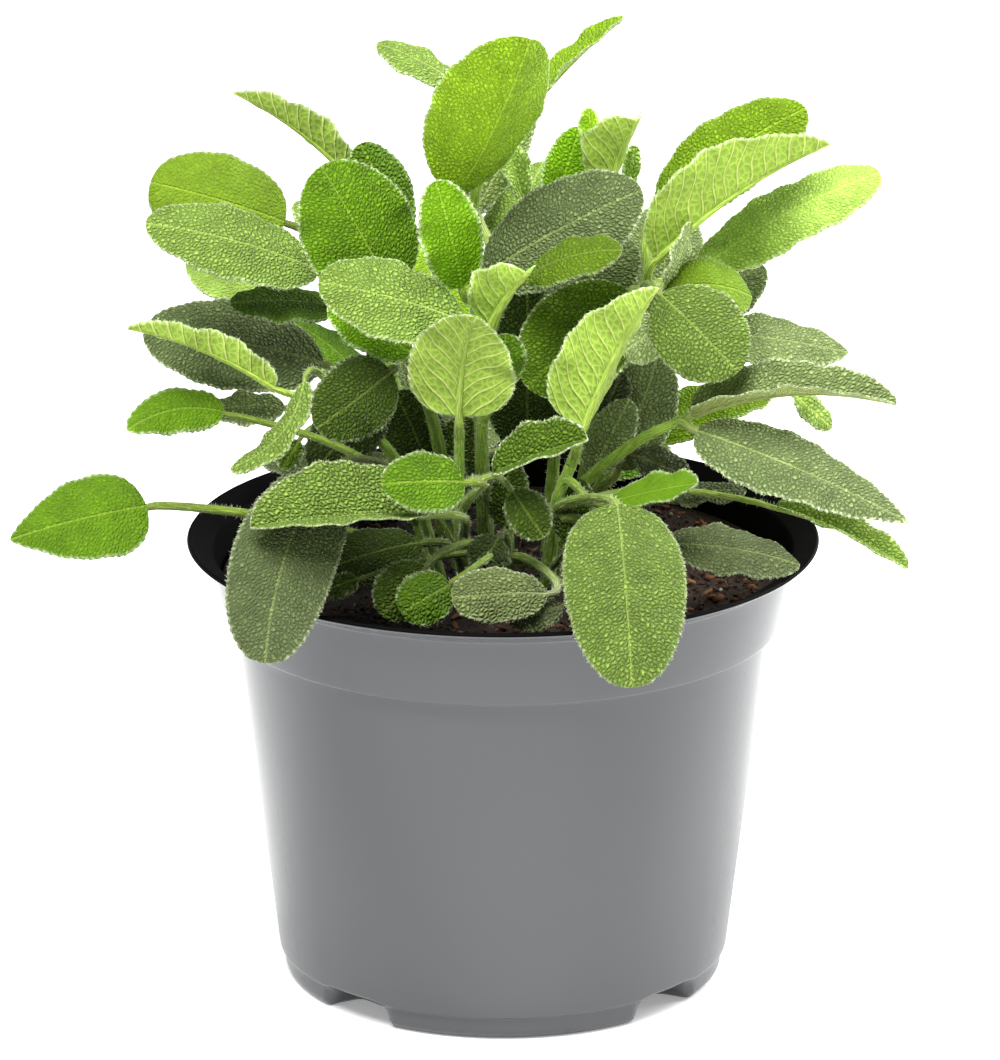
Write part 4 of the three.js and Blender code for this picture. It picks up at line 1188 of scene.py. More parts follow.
@dataclass(frozen=True)
class NurseryPot:
    """The thermoformed pot: a foot ring with drain notches, a tapering body, a collar and a thin lip.

    Sizes are in millimetres and degrees. Corners are rounded over reach with so many corner_steps, no step
    of the profile is longer than longest_step, and the pot has so many segments round.
    """

    height: float = POT_HEIGHT
    lip_radius: float = 65.0
    collar_top: float = 60.8
    collar_foot: float = 57.2
    collar_depth: float = 18.3
    body_top: float = 55.1
    body_foot: float = 46.6
    foot_height: float = 4.8
    foot_radius: float = 45.6
    flare: float = 3.4
    wall: float = 1.0
    notch_count: int = 4
    first_notch: float = 48.0
    notch_full: float = 5.0
    notch_edge: float = 12.0
    notch_depth: float = 9.0
    drain_hole: float = 5.0
    hole_inwards: float = 0.5
    hole_below: float = 1.0
    roof_gap: float = 0.6
    segments: int = 288
    reach: float = 0.8
    corner_steps: int = 5
    longest_step: float = 3.0
    bare_colour: str = "#868A8D"

    @property
    def collar_z(self) -> float:
        """The height of the collar's foot."""
        return self.height - self.collar_depth

    @property
    def notch_roof(self) -> float:
        """The height of a drain notch's roof."""
        return self.foot_height + self.roof_gap

    @property
    def notch_radius(self) -> float:
        """How far out the underside reaches in a drain notch."""
        return self.foot_radius - self.notch_depth

    def outside(self) -> list[list[float]]:
        """Gives the outer profile up to the lip.

        The small offsets are those of the foot's rounding, the step under the collar and the lip's edge.

        Returns:
            A row for each corner: radius, height, then both again in a notch.
        """
        r, z, foot = self.notch_radius, self.notch_roof, self.foot_radius
        plain = [
            [0, 0],
            [r - 4, 0],
            [r, 0],
            [foot - 1.4, 0, r + 0.6, z - 0.8],
            [foot - 0.2, 1.2, r + 2, z],
            [foot, self.foot_height, self.body_foot - 0.8, z],
            [self.body_foot, self.foot_height + 0.4, self.body_foot, z + 0.5],
            [self.body_top, self.collar_z],
            [self.collar_foot, self.collar_z + 0.4],
            [self.collar_top - 0.4, self.height - self.flare],
            [self.lip_radius - 0.5, self.height - 1.3],
            [self.lip_radius, self.height - 0.7],
        ]
        return [row if len(row) == 4 else row + row for row in plain]

    def inside(self) -> list[list[float]]:
        """Gives the inner profile from the floor's middle up to the lip, a wall's thickness in.

        Returns:
            A row for each corner: radius, height, then both again in a notch.
        """
        r, z, foot, w = self.notch_radius, self.notch_roof, self.foot_radius, self.wall
        plain = [
            [0, w],
            [r - 3, w],
            [foot - w - 1.6, w, r - 1.2, z],
            [foot - w - 0.5, w + 1, r + 0.4, z + w],
            [self.body_foot - w, z + 1.2 * w],
            [self.body_top - w, self.collar_z - 0.6],
            [self.collar_foot - w, self.collar_z + 1],
            [self.collar_top - w, self.height + w - self.flare],
            [self.lip_radius - 1.4, self.height - 0.6],
            [self.lip_radius - 0.5, self.height],
        ]
        return [row if len(row) == 4 else row + row for row in plain]

    def turned(self, profile: np.ndarray, lift: Callable | None = None) -> np.ndarray:
        """Turns a profile round the axis, closing in on the notched one in the notches.

        The share of the notched profile is 1 within notch_full degrees of a notch's middle and eases to 0
        at notch_edge.

        Args:
            profile: rows of radius, height, and both again in a notch.
            lift: adds to the height, by X, Y, radius and height.

        Returns:
            Points, segments by rows by 3.
        """
        turn = 2 * np.pi * np.arange(self.segments)[:, None] / self.segments
        every = 360 / self.notch_count
        degrees = np.degrees(turn) - self.first_notch
        off = np.abs(degrees - every * np.round(degrees / every))
        share = 1 - smoothstep(self.notch_full, self.notch_edge, off)
        radius = profile[:, 0] + (profile[:, 2] - profile[:, 0]) * share
        level = profile[:, 1] + (profile[:, 3] - profile[:, 1]) * share
        x, y = radius * np.sin(turn), -radius * np.cos(turn)
        if lift is not None:
            level = level + lift(x, y, radius, level)
        return np.stack([x, y, level], axis=-1)

    def faces(self, rows: int) -> tuple[np.ndarray, np.ndarray]:
        """Numbers the faces of a turned profile whose first and last rows are poles.

        Args:
            rows: the number of rows in the profile.

        Returns:
            The four-cornered faces and the row of the profile that each starts on.
        """
        segment = np.arange(self.segments)[:, None]
        after = (segment + 1) % self.segments
        row = np.arange(rows - 1)[None, :]
        low, next_low = segment * rows + row, after * rows + row
        quads = np.stack([low, next_low, next_low + 1, low + 1], axis=-1).reshape(-1, 4)
        return quads, np.tile(np.arange(rows - 1), self.segments)

    def build(self, materials: list[bpy.types.Material]) -> bpy.types.Object:
        """Builds the pot, with its drain holes cut.

        Args:
            materials: the plastic of the outside, and that from the lip inwards.

        Returns:
            The pot's piece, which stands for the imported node.
        """
        outer = refined(rounded(self.outside(), self.reach, self.corner_steps), self.longest_step)
        inner = refined(rounded(self.inside(), self.reach, self.corner_steps)[::-1], self.longest_step)
        profile = np.concatenate([outer, inner])
        points = self.turned(profile)
        quads, rows = self.faces(len(profile))
        skin = Skin()
        lengths = lengths_along(profile[:, :2])
        round_way = np.arange(self.segments) / self.segments * 2 * np.pi * self.body_top
        places = np.stack(np.broadcast_arrays(round_way[:, None], lengths[None, :]), axis=-1) / PLACE_UNIT
        skin.add(points, linear(self.bare_colour), places, quads=quads)
        skin.quad_dress = [(rows >= len(outer) - 1).astype(int)]
        piece = skin.build("nursery_pot", materials)
        merge_poles(piece)
        self.cut_drains(piece)
        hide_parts("pot")
        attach(piece, BODY)
        return piece

    def cut_drains(self, piece: bpy.types.Object) -> None:
        """Cuts a square drain hole up through the roof of each notch.

        Args:
            piece: the pot.
        """
        unit_box = np.array([[x, y, z] for x in (-1, 1) for y in (-1, 1) for z in (-1, 1)])
        corners = unit_box * self.drain_hole / 2
        sides = [[0, 1, 3, 2], [4, 6, 7, 5], [0, 4, 5, 1], [2, 3, 7, 6], [0, 2, 6, 4], [1, 5, 7, 3]]
        points, faces = [], []
        out = self.foot_radius - self.notch_depth / 2 - self.hole_inwards
        for k in range(self.notch_count):
            turn = math.radians(self.first_notch + 360 * k / self.notch_count)
            cos, sin = math.cos(turn), math.sin(turn)
            spin = np.array([[cos, sin, 0], [-sin, cos, 0], [0, 0, 1]])
            middle = corners + [0, -out, self.notch_roof + self.drain_hole / 2 - self.hole_below]
            faces += [[8 * k + corner for corner in side] for side in sides]
            points.append(middle @ spin)
        mesh = bpy.data.meshes.new("drain_cutter")
        mesh.from_pydata((np.concatenate(points) * MM).tolist(), [], faces)
        cutter = bpy.data.objects.new("drain_cutter", mesh)
        bpy.context.scene.collection.objects.link(cutter)
        cut = piece.modifiers.new("drains", "BOOLEAN")
        cut.operation = "DIFFERENCE"
        cut.solver = "EXACT"
        cut.object = cutter
        apply_modifiers(piece)
        bpy.data.objects.remove(cutter)


def refined(profile: np.ndarray, most: float) -> np.ndarray:
    """Adds rows to a profile so that none of its steps is longer than most.

    Args:
        profile: rows of numbers, each a corner.
        most: the longest step.

    Returns:
        The rows with even ones added between those that lie too far apart.
    """
    steps = np.linalg.norm(np.diff(profile, axis=0), axis=1)
    rows = [profile[:1]]
    for start, end, step in zip(profile[:-1], profile[1:], steps):
        parts = max(1, math.ceil(step / most))
        rows.append(start + (end - start) * (np.arange(1, parts + 1) / parts)[:, None])
    return np.concatenate(rows)


def apply_modifiers(piece: bpy.types.Object) -> None:
    """Puts the result of a piece's modifiers into its mesh and removes them.

    Args:
        piece: the object.
    """
    bpy.context.view_layer.update()
    evaluated = piece.evaluated_get(bpy.context.evaluated_depsgraph_get())
    finished = bpy.data.meshes.new_from_object(evaluated)
    piece.modifiers.clear()
    old = piece.data
    piece.data = finished
    bpy.data.meshes.remove(old)


def merge_poles(piece: bpy.types.Object) -> None:
    """Merges vertices that lie together, such as those of a turned profile on its axis.

    Args:
        piece: the object.
    """
    weld = piece.modifiers.new("weld", "WELD")
    weld.merge_threshold = WELD_DISTANCE
    apply_modifiers(piece)


@dataclass(frozen=True)
class CrumbSort:
    """A sort of crumb: its colours, its shortest and longest length in millimetres, and how many there are.

    A grain's three sizes are drawn alike. Any other crumb is a flake, whose height is a share of its length,
    and whose width is drawn unless it is given as such a share too.
    """

    colours: tuple[str, ...]
    shortest: float
    longest: float
    count: int
    grain: bool = False
    height: float = 1.0
    width: float | None = None


class Crumb(Enum):
    """What the potting soil holds."""

    PEAT = CrumbSort(("#3A2A20", "#4A3628", "#2B1E17"), 0.5, 1.7, 2600, grain=True)
    BARK = CrumbSort(("#6B3F26", "#7D4C2E", "#523020", "#8A6040"), 1.4, 4.2, 520, height=0.3)
    PERLITE = CrumbSort(("#CFC8BA", "#B9B0A0"), 0.7, 1.6, 70, grain=True)
    FIBRE = CrumbSort(("#8A6A48", "#6E5238"), 2.5, 6.5, 160, height=0.12, width=0.1)


@dataclass(frozen=True)
class PottingSoil:
    """The soil: a body against the pot's inner side, with an uneven crumbly surface.

    Sizes are in millimetres. Crumbs are icosahedra of edge 2, which measure span across, and whose corners
    and sizes are drawn. They keep margin from the wall, lie tilted by about so many radians, and stand
    with their middles raised above the soil by a share of their height.
    """

    pot: NurseryPot
    gap: float = 0.3
    slack: float = 0.1
    shoulder: float = 0.6
    uneven: float = 1.1
    roughness: float = 0.45
    flat_from: float = 45.0
    flat_to: float = 58.0
    rings: int = 70
    seed: int = 7
    colour: str = "#2E1F17"
    margin: float = 2.5
    span: float = 3.8
    flake_widths: Two = (0.25, 0.8)
    grain_sizes: Two = (0.6, 1.0)
    lumpiness: Two = (0.75, 1.2)
    tilt: float = 0.35
    raised: float = 0.25
    lightness: Two = (0.7, 1.15)
    # The soil's lightness in its painted shadow on the left
    shadow_lightness: float = 0.25

    @property
    def level(self) -> float:
        """The height of the surface before its mounds."""
        return self.pot.height - SOIL_BELOW_RIM

    @property
    def edge(self) -> float:
        """The radius of the surface, a gap in from the collar."""
        slope = (self.pot.collar_top - self.pot.collar_foot) / self.pot.collar_depth
        return self.pot.collar_top - self.pot.wall - SOIL_BELOW_RIM * slope - self.gap - 2 * self.slack

    def relief(self, x: np.ndarray, y: np.ndarray, radius: np.ndarray, z: np.ndarray) -> np.ndarray:
        """Works out gentle mounds, and finer lumps on them.

        The mounds are sin(x / 5.1 + 1) cos(y / 6.3) + sin(y / 3.4 - x / 7) / 2 and fade out at the wall. The
        lumps are two products of sines, 3 mm and 1.5 mm long, whose phases wander. Below ground there are
        neither.

        Args:
            x: millimetres to the right.
            y: millimetres to the back.
            radius: millimetres from the axis.
            z: the height before the relief.

        Returns:
            What is added to the height.
        """
        fade = 1 - smoothstep(self.flat_from, self.flat_to, radius)
        waves = np.sin(x / 5.1 + 1) * np.cos(y / 6.3) + 0.5 * np.sin(y / 3.4 - x / 7)
        lumps = np.sin(x * 2.1 + 2 * np.sin(y * 1.3)) * np.sin(y * 1.9 + 1.7 * np.sin(x * 0.9))
        lumps = lumps + 0.6 * np.sin(x * 4.3 + y * 2.2) * np.sin(y * 4.9 - x * 1.1)
        shown = smoothstep(self.level - 0.4, self.level - 0.1, z)
        return shown * (self.uneven * fade * waves + self.roughness * np.minimum(1, 2 * fade) * lumps)

    def painted_soil_light(self, x: np.ndarray, y: np.ndarray) -> np.ndarray:
        """Paints light and shade on the soil: 1 where it is lit, to the right, down to a painted shadow on
        the left.
        """
        lit_share = smoothstep(-15, 30, x - 0.3 * y + 4 * np.sin(x / 7) * np.cos(y / 5))
        return self.shadow_lightness + (1 - self.shadow_lightness) * lit_share

    def build(self, materials: list[bpy.types.Material]) -> bpy.types.Object:
        """Builds the soil and scatters its crumbs.

        Args:
            materials: the potting mix.

        Returns:
            The soil's piece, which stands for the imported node.
        """
        against = []
        for r, z, notch_r, notch_z in self.pot.inside()[:-3]:
            inset = self.gap + self.slack if r > 0 else 0.0
            against.append([r - inset, z + self.gap, notch_r - inset, notch_z + self.gap])
        against.append([self.edge, self.level - self.shoulder] * 2)
        rim = np.linspace(self.edge - 0.4, 0, self.rings)
        surface = np.stack([rim, np.full(self.rings, self.level)] * 2, axis=-1)
        profile = np.concatenate([np.array(against), surface])
        points = self.pot.turned(profile, self.relief)
        quads, _ = self.pot.faces(len(profile))
        skin = Skin()
        # The soil is darkened to the left by painted shade.
        shades = linear(self.colour) * self.painted_soil_light(points[..., 0], points[..., 1])[..., None]
        skin.add(points, shades, points[..., :2] / PLACE_UNIT, quads=quads)
        draw = np.random.default_rng(self.seed)
        for kind in Crumb:
            self.scatter(skin, kind.value, draw)
        piece = skin.build("potting_soil", materials)
        merge_poles(piece)
        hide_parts("soil")
        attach(piece, BODY)
        return piece

    def stretches(self, sort: CrumbSort, draw: np.random.Generator) -> np.ndarray:
        """Draws the crumbs' lengths, widths and heights as shares of their lengths.

        Args:
            sort: the sort of crumb.
            draw: the source of the draws.

        Returns:
            Three shares for each crumb.
        """
        widths = draw.uniform(*self.flake_widths, (sort.count, 1))
        if sort.grain:
            return draw.uniform(*self.grain_sizes, (sort.count, 3))
        if sort.width is not None:
            widths = np.full((sort.count, 1), sort.width)
        lengths, heights = np.ones((sort.count, 1)), np.full((sort.count, 1), sort.height)
        return np.concatenate([lengths, widths, heights], axis=1)

    def scatter(self, skin: Skin, sort: CrumbSort, draw: np.random.Generator) -> None:
        """Scatters one sort of crumb: lumpy icosahedra stretched by three sizes, tilted, turned and set in.

        Args:
            skin: where they go.
            sort: the sort of crumb.
            draw: the source of their sizes, places and colours.
        """
        corners = icosahedron_corners()
        faces = icosahedron_faces(corners)
        count = sort.count
        size = draw.uniform(sort.shortest, sort.longest, (count, 1)) / self.span
        stretch = self.stretches(sort, draw)
        lumps = draw.uniform(*self.lumpiness, (count, len(corners), 1))
        lumpy = corners[None] * lumps * (size * stretch)[:, None]
        tilt, turn = draw.normal(0, self.tilt, count), draw.uniform(0, 2 * np.pi, count)
        x = lumpy[..., 0] * np.cos(tilt)[:, None] - lumpy[..., 2] * np.sin(tilt)[:, None]
        z = lumpy[..., 0] * np.sin(tilt)[:, None] + lumpy[..., 2] * np.cos(tilt)[:, None]
        cos, sin = np.cos(turn)[:, None], np.sin(turn)[:, None]
        spun = np.stack([x * cos - lumpy[..., 1] * sin, x * sin + lumpy[..., 1] * cos, z], axis=-1)
        radius = (self.edge - self.margin - sort.longest / 2) * np.sqrt(draw.uniform(0, 1, count))
        way = draw.uniform(0, 2 * np.pi, count)
        px, py = radius * np.cos(way), radius * np.sin(way)
        level = self.level + self.relief(px, py, radius, np.full(count, self.level))
        lift = self.raised * size[:, 0] * stretch[:, 2]
        places = spun + np.stack([px, py, level + lift], axis=-1)[:, None]
        shades = np.stack([linear(code) for code in sort.colours])
        colours = shades[draw.integers(0, len(shades), count)]
        # The crumbs take the soil's painted shade too.
        colours = colours * draw.uniform(*self.lightness, (count, 1)) * self.painted_soil_light(px, py)[:, None]
        spread = np.repeat(colours, len(corners), axis=0)
        triangles = faces[None] + len(corners) * np.arange(count)[:, None, None]
        skin.add(places, spread, places[..., :2] / PLACE_UNIT, triangles=triangles)


def icosahedron_corners() -> np.ndarray:
    """Lays the corners of an icosahedron of edge 2: (0, 1, golden) with all signs, in all three turns.

    Returns:
        Its 12 corners.
    """
    golden = (1 + math.sqrt(5)) / 2
    first = [[0, a, b * golden] for a in (-1, 1) for b in (-1, 1)]
    return np.array([[c[k % 3], c[(k + 1) % 3], c[(k + 2) % 3]] for k in range(3) for c in first])


def icosahedron_faces(corners: np.ndarray) -> np.ndarray:
    """Finds the 20 outward faces of an icosahedron: the corner triples that all lie one edge, 2, apart.

    Args:
        corners: its 12 corners.

    Returns:
        Rows of three corner numbers.
    """
    near = np.abs(np.linalg.norm(corners[:, None] - corners[None], axis=-1) - 2) < 0.01
    faces = []
    for a, b, c in combinations(range(len(corners)), 3):
        if near[a, b] and near[b, c] and near[a, c]:
            way = np.cross(corners[b] - corners[a], corners[c] - corners[a])
            faces.append([a, b, c] if way @ corners[a] > 0 else [a, c, b])
    return np.array(faces)


Socket = bpy.types.NodeSocket


class Finish:
    """A material with its node tree, and the means to add nodes to it."""

    def __init__(self, name: str) -> None:
        """Makes the material with only a shader and an output.

        Args:
            name: the material's name.
        """
        self.material = bpy.data.materials.new(name)
        self.material.use_nodes = True
        self.tree = self.material.node_tree
        self.shader = self.tree.nodes["Principled BSDF"]

    def node(self, kind: str, settings: dict | None = None, links: dict | None = None) -> bpy.types.Node:
        """Adds a node.

        Args:
            kind: the node's type.
            settings: values for its properties, or, where it has no such property, for its inputs.
            links: output sockets to link to its inputs, by the inputs' names or numbers.

        Returns:
            The node.
        """
        made = self.tree.nodes.new(kind)
        for key, value in (settings or {}).items():
            if isinstance(key, str) and hasattr(made, key):
                setattr(made, key, value)
            else:
                made.inputs[key].default_value = value
        for key, socket in (links or {}).items():
            self.tree.links.new(socket, made.inputs[key])
        return made

    def set(self, **values: object) -> None:
        """Sets the shader's own sockets, whose spaces are written as underscores."""
        for key, value in values.items():
            self.shader.inputs[key.replace("_", " ")].default_value = value

    def link(self, socket: Socket, name: str) -> None:
        """Links a socket to the shader."""
        self.tree.links.new(socket, self.shader.inputs[name])


@dataclass(frozen=True)
class LeafSkin:
    """Living leaf tissue under fine down: matt and faintly velvety.

    The tissue between the finest veins bulges in pebbles, which are so many millimetres wide, with seams
    between them above and a paler raised net below. A seam's colour is the tissue's times seam: where seam is
    below 1 it is painted shade in the hollows between the pebbles. A vein's colour is the tissue's with paler
    added. The bump is height millimetres high, and line is the veins' share of it. A painted highlight
    lightens the pebbles' tops, for the soft shine that the down on them gives the eye; a negative share
    darkens them instead.
    """

    name: str
    pebble: float
    roughness: float
    sheen: float
    seam: Three = (1.0, 1.0, 1.0)
    height: float = 0.0
    painted_highlight: float = 0.0
    line: float = 0.0
    side_vein: float = 0.0
    paler: Three = (0.08, 0.09, 0.02)
    wobble_size: float = 1.1
    wobble: float = 0.5
    dome: float = 0.5
    seam_width: float = 0.12
    vein_edges: Two = (0.15, 0.03)
    rib_edges: Two = (0.4, 0.12)
    vein_strength: float = 0.85
    vein_light: float = 1.1
    mottle_size: float = 5.0
    mottle: Two = (0.78, 1.2)
    gloss: float = 0.16

    def pebbles(self, finish: Finish) -> list[Socket]:
        """Draws the pebbles: cells round scattered points of the surface map, whose seams wander by a noise.

        Args:
            finish: the material.

        Returns:
            The pebbles' height, from 0 in the seam to 1 half a cell in, and their colour share, which rises
            in an eighth of a cell.
        """
        places = finish.node("ShaderNodeUVMap", {"uv_map": PLACE_LAYER})
        wobble = finish.node(
            "ShaderNodeTexNoise",
            {"noise_dimensions": "2D", "Scale": PLACE_UNIT / self.wobble_size, "Detail": 2.0},
            {"Vector": places.outputs[0]},
        )
        shift = finish.node(
            "ShaderNodeVectorMath",
            {"operation": "MULTIPLY_ADD", 1: (self.wobble / PLACE_UNIT,) * 3},
            {0: wobble.outputs["Color"], 2: places.outputs[0]},
        )
        cells = finish.node(
            "ShaderNodeTexVoronoi",
            {"voronoi_dimensions": "2D", "feature": "DISTANCE_TO_EDGE", "Scale": PLACE_UNIT / self.pebble},
            {"Vector": shift.outputs[0]},
        )
        shares = [
            finish.node(
                "ShaderNodeMapRange",
                {"interpolation_type": "SMOOTHSTEP", "From Max": reach},
                {"Value": cells.outputs["Distance"]},
            )
            for reach in (self.dome, self.seam_width)
        ]
        return [share.outputs[0] for share in shares]

    def veins(self, finish: Finish) -> Socket:
        """Draws the veins: 1 on the rib, side_vein where the vein number is whole, and 0 a little way off.

        Args:
            finish: the material.

        Returns:
            The share of a vein.
        """
        veins = finish.node("ShaderNodeUVMap", {"uv_map": VEIN_LAYER})
        parts = finish.node("ShaderNodeSeparateXYZ", links={0: veins.outputs[0]})
        near = finish.node("ShaderNodeMath", {"operation": "PINGPONG", 1: 0.5}, {0: parts.outputs[0]})
        eased = {"interpolation_type": "SMOOTHSTEP"}
        far, close = self.vein_edges
        side = finish.node(
            "ShaderNodeMapRange",
            {**eased, "From Min": far, "From Max": close, "To Max": self.side_vein},
            {"Value": near.outputs[0]},
        )
        apart = finish.node("ShaderNodeMath", {"operation": "ABSOLUTE"}, {0: parts.outputs[1]})
        far, close = (edge / PLACE_UNIT for edge in self.rib_edges)
        rib = finish.node(
            "ShaderNodeMapRange", {**eased, "From Min": far, "From Max": close}, {"Value": apart.outputs[0]}
        )
        both = {0: side.outputs[0], 1: rib.outputs[0]}
        return finish.node("ShaderNodeMath", {"operation": "MAXIMUM"}, both).outputs[0]

    def weakened(self, finish: Finish, share: Socket, strength: Socket) -> Socket:
        """Weakens a pattern.

        Args:
            finish: the material.
            share: the pattern, from 0 to 1.
            strength: how much of it is kept.

        Returns:
            1 + (share - 1) * strength.
        """
        sunk = finish.node("ShaderNodeMath", {"operation": "SUBTRACT", 1: 1.0}, {0: share})
        parts = {0: sunk.outputs[0], 1: strength}
        return finish.node("ShaderNodeMath", {"operation": "MULTIPLY_ADD", 2: 1.0}, parts).outputs[0]

    def tissue(self, finish: Finish, colour: Socket, dome: Socket) -> Socket:
        """Draws the tissue: the leaf's own colour, mottled, and lightened on the pebbles' tops by a painted
        highlight.

        Args:
            finish: the material.
            colour: the leaf's own colour.
            dome: the pebbles' height.

        Returns:
            The tissue's colour.
        """
        place = finish.node("ShaderNodeTexCoord")
        noise = finish.node(
            "ShaderNodeTexNoise",
            {"Scale": 1 / (self.mottle_size * MM), "Detail": 4.0, "Roughness": 0.65},
            {"Vector": place.outputs["Object"]},
        )
        least, most = self.mottle
        tone = finish.node(
            "ShaderNodeMapRange",
            {"From Min": 0.3, "From Max": 0.7, "To Min": least, "To Max": most},
            {"Value": noise.outputs[0]},
        )
        # A painted highlight lightens the pebbles' tops.
        lift = {"To Min": 1 - self.painted_highlight, "To Max": 1 + self.painted_highlight}
        painted_highlight = finish.node("ShaderNodeMapRange", lift, {"Value": dome})
        parts = {0: tone.outputs[0], 1: painted_highlight.outputs[0]}
        light = finish.node("ShaderNodeMath", {"operation": "MULTIPLY"}, parts)
        parts = {0: colour, "Scale": light.outputs[0]}
        return finish.node("ShaderNodeVectorMath", {"operation": "SCALE"}, parts).outputs[0]

    def make(self) -> bpy.types.Material:
        """Builds the material.

        Returns:
            The leaf's own colour, mottled, with a painted highlight on the pebbles' tops, painted shade in
            the seams where seam is below 1, a paler net where it is above 1, and paler veins.
        """
        finish = Finish(self.name)
        colour = finish.node("ShaderNodeAttribute", {"attribute_name": COLOUR_LAYER})
        height, share = self.pebbles(finish)
        lines = self.veins(finish)
        dome, level = (self.weakened(finish, part, colour.outputs["Alpha"]) for part in (height, share))
        tissue = self.tissue(finish, colour.outputs["Color"], dome)
        # Where seam is below 1, the seams get painted shade in the hollows between the pebbles.
        seam = finish.node("ShaderNodeVectorMath", {"operation": "MULTIPLY", 1: self.seam}, {0: tissue})
        # A colour mix takes its two colours at inputs 6 and 7, and gives the mixed one at output 2.
        mix = {"data_type": "RGBA"}
        pebbled = finish.node("ShaderNodeMix", mix, {0: level, 6: seam.outputs[0], 7: tissue})
        lighter = {"operation": "MULTIPLY_ADD", 1: (self.vein_light,) * 3, 2: self.paler}
        pale = finish.node("ShaderNodeVectorMath", lighter, {0: tissue})
        faint = finish.node("ShaderNodeMath", {"operation": "MULTIPLY", 1: self.vein_strength}, {0: lines})
        parts = {0: faint.outputs[0], 6: pebbled.outputs[2], 7: pale.outputs[0]}
        finish.link(finish.node("ShaderNodeMix", mix, parts).outputs[2], "Base Color")
        ridge = finish.node(
            "ShaderNodeMath", {"operation": "MULTIPLY_ADD", 1: self.line}, {0: lines, 2: dome}
        )
        bump = finish.node(
            "ShaderNodeBump", {"Strength": 1.0, "Distance": self.height * MM}, {"Height": ridge.outputs[0]}
        )
        finish.link(bump.outputs[0], "Normal")
        finish.set(Roughness=self.roughness, Sheen_Weight=self.sheen, Sheen_Roughness=0.5)
        finish.set(Specular_IOR_Level=self.gloss)
        return finish.material


@dataclass(frozen=True)
class PotPlastic:
    """Thermoformed polystyrene sheet: smooth, with the faint waviness and satin gloss of drawn plastic.

    Its waves are wave_size millimetres long. Rub marks of about 0.2 mm are drawn mark_size millimetres wide,
    because they are too fine to show.
    """

    name: str
    colour: str
    roughness: float
    wave: float
    gloss: float
    wave_size: float = 50.0
    wave_height: float = 0.4
    mark_size: float = 10 / 9
    marks: float = 0.02
    ior: float = 1.55

    def make(self) -> bpy.types.Material:
        """Builds the material.

        Returns:
            One colour with faint clouds, long soft waves and fine rub marks.
        """
        finish = Finish(self.name)
        place = finish.node("ShaderNodeTexCoord")
        clouds = finish.node(
            "ShaderNodeTexNoise",
            {"Scale": 1 / (self.wave_size * MM), "Detail": 1.0},
            {"Vector": place.outputs["Object"]},
        )
        shade = finish.node(
            "ShaderNodeMapRange",
            {"From Min": 0.3, "From Max": 0.7, "To Min": 0.97, "To Max": 1.03},
            {"Value": clouds.outputs[0]},
        )
        base = finish.node("ShaderNodeRGB")
        base.outputs[0].default_value = (*linear(self.colour), 1.0)
        parts = {0: base.outputs[0], "Scale": shade.outputs[0]}
        colour = finish.node("ShaderNodeVectorMath", {"operation": "SCALE"}, parts)
        finish.link(colour.outputs[0], "Base Color")
        marks = finish.node(
            "ShaderNodeTexNoise",
            {"Scale": 1 / (self.mark_size * MM), "Detail": 2.0},
            {"Vector": place.outputs["Object"]},
        )
        rough = finish.node(
            "ShaderNodeMapRange",
            {"To Min": self.roughness - self.marks, "To Max": self.roughness + self.marks},
            {"Value": marks.outputs[0]},
        )
        finish.link(rough.outputs[0], "Roughness")
        bump = finish.node(
            "ShaderNodeBump",
            {"Strength": self.wave, "Distance": self.wave_height * MM},
            {"Height": clouds.outputs[0]},
        )
        finish.link(bump.outputs[0], "Normal")
        finish.set(IOR=self.ior, Specular_IOR_Level=self.gloss)
        return finish.material


@dataclass(frozen=True)
class Crumbs:
    """Moist peat and composted bark: matt, granular and uneven in colour.

    Its grains are grain millimetres across and height millimetres high.
    """

    name: str = "moist potting mix"
    grain: float = 0.5
    height: float = 0.4

    def make(self) -> bpy.types.Material:
        """Builds the material.

        Returns:
            Each crumb's own colour, with dark pores and light grains.
        """
        finish = Finish(self.name)
        colour = finish.node("ShaderNodeAttribute", {"attribute_name": COLOUR_LAYER})
        place = finish.node("ShaderNodeTexCoord")
        grains = finish.node(
            "ShaderNodeTexNoise",
            {"Scale": 0.6 / (self.grain * MM), "Detail": 5.0, "Roughness": 0.7},
            {"Vector": place.outputs["Object"]},
        )
        shade = finish.node(
            "ShaderNodeMapRange",
            {"From Min": 0.35, "From Max": 0.65, "To Min": 0.45, "To Max": 1.35},
            {"Value": grains.outputs[0]},
        )
        parts = {0: colour.outputs["Color"], "Scale": shade.outputs[0]}
        product = finish.node("ShaderNodeVectorMath", {"operation": "SCALE"}, parts)
        finish.link(product.outputs[0], "Base Color")
        bump = finish.node(
            "ShaderNodeBump", {"Strength": 0.8, "Distance": self.height * MM}, {"Height": grains.outputs[0]}
        )
        finish.link(bump.outputs[0], "Normal")
        finish.set(Roughness=0.85, Specular_IOR_Level=0.3)
        return finish.material


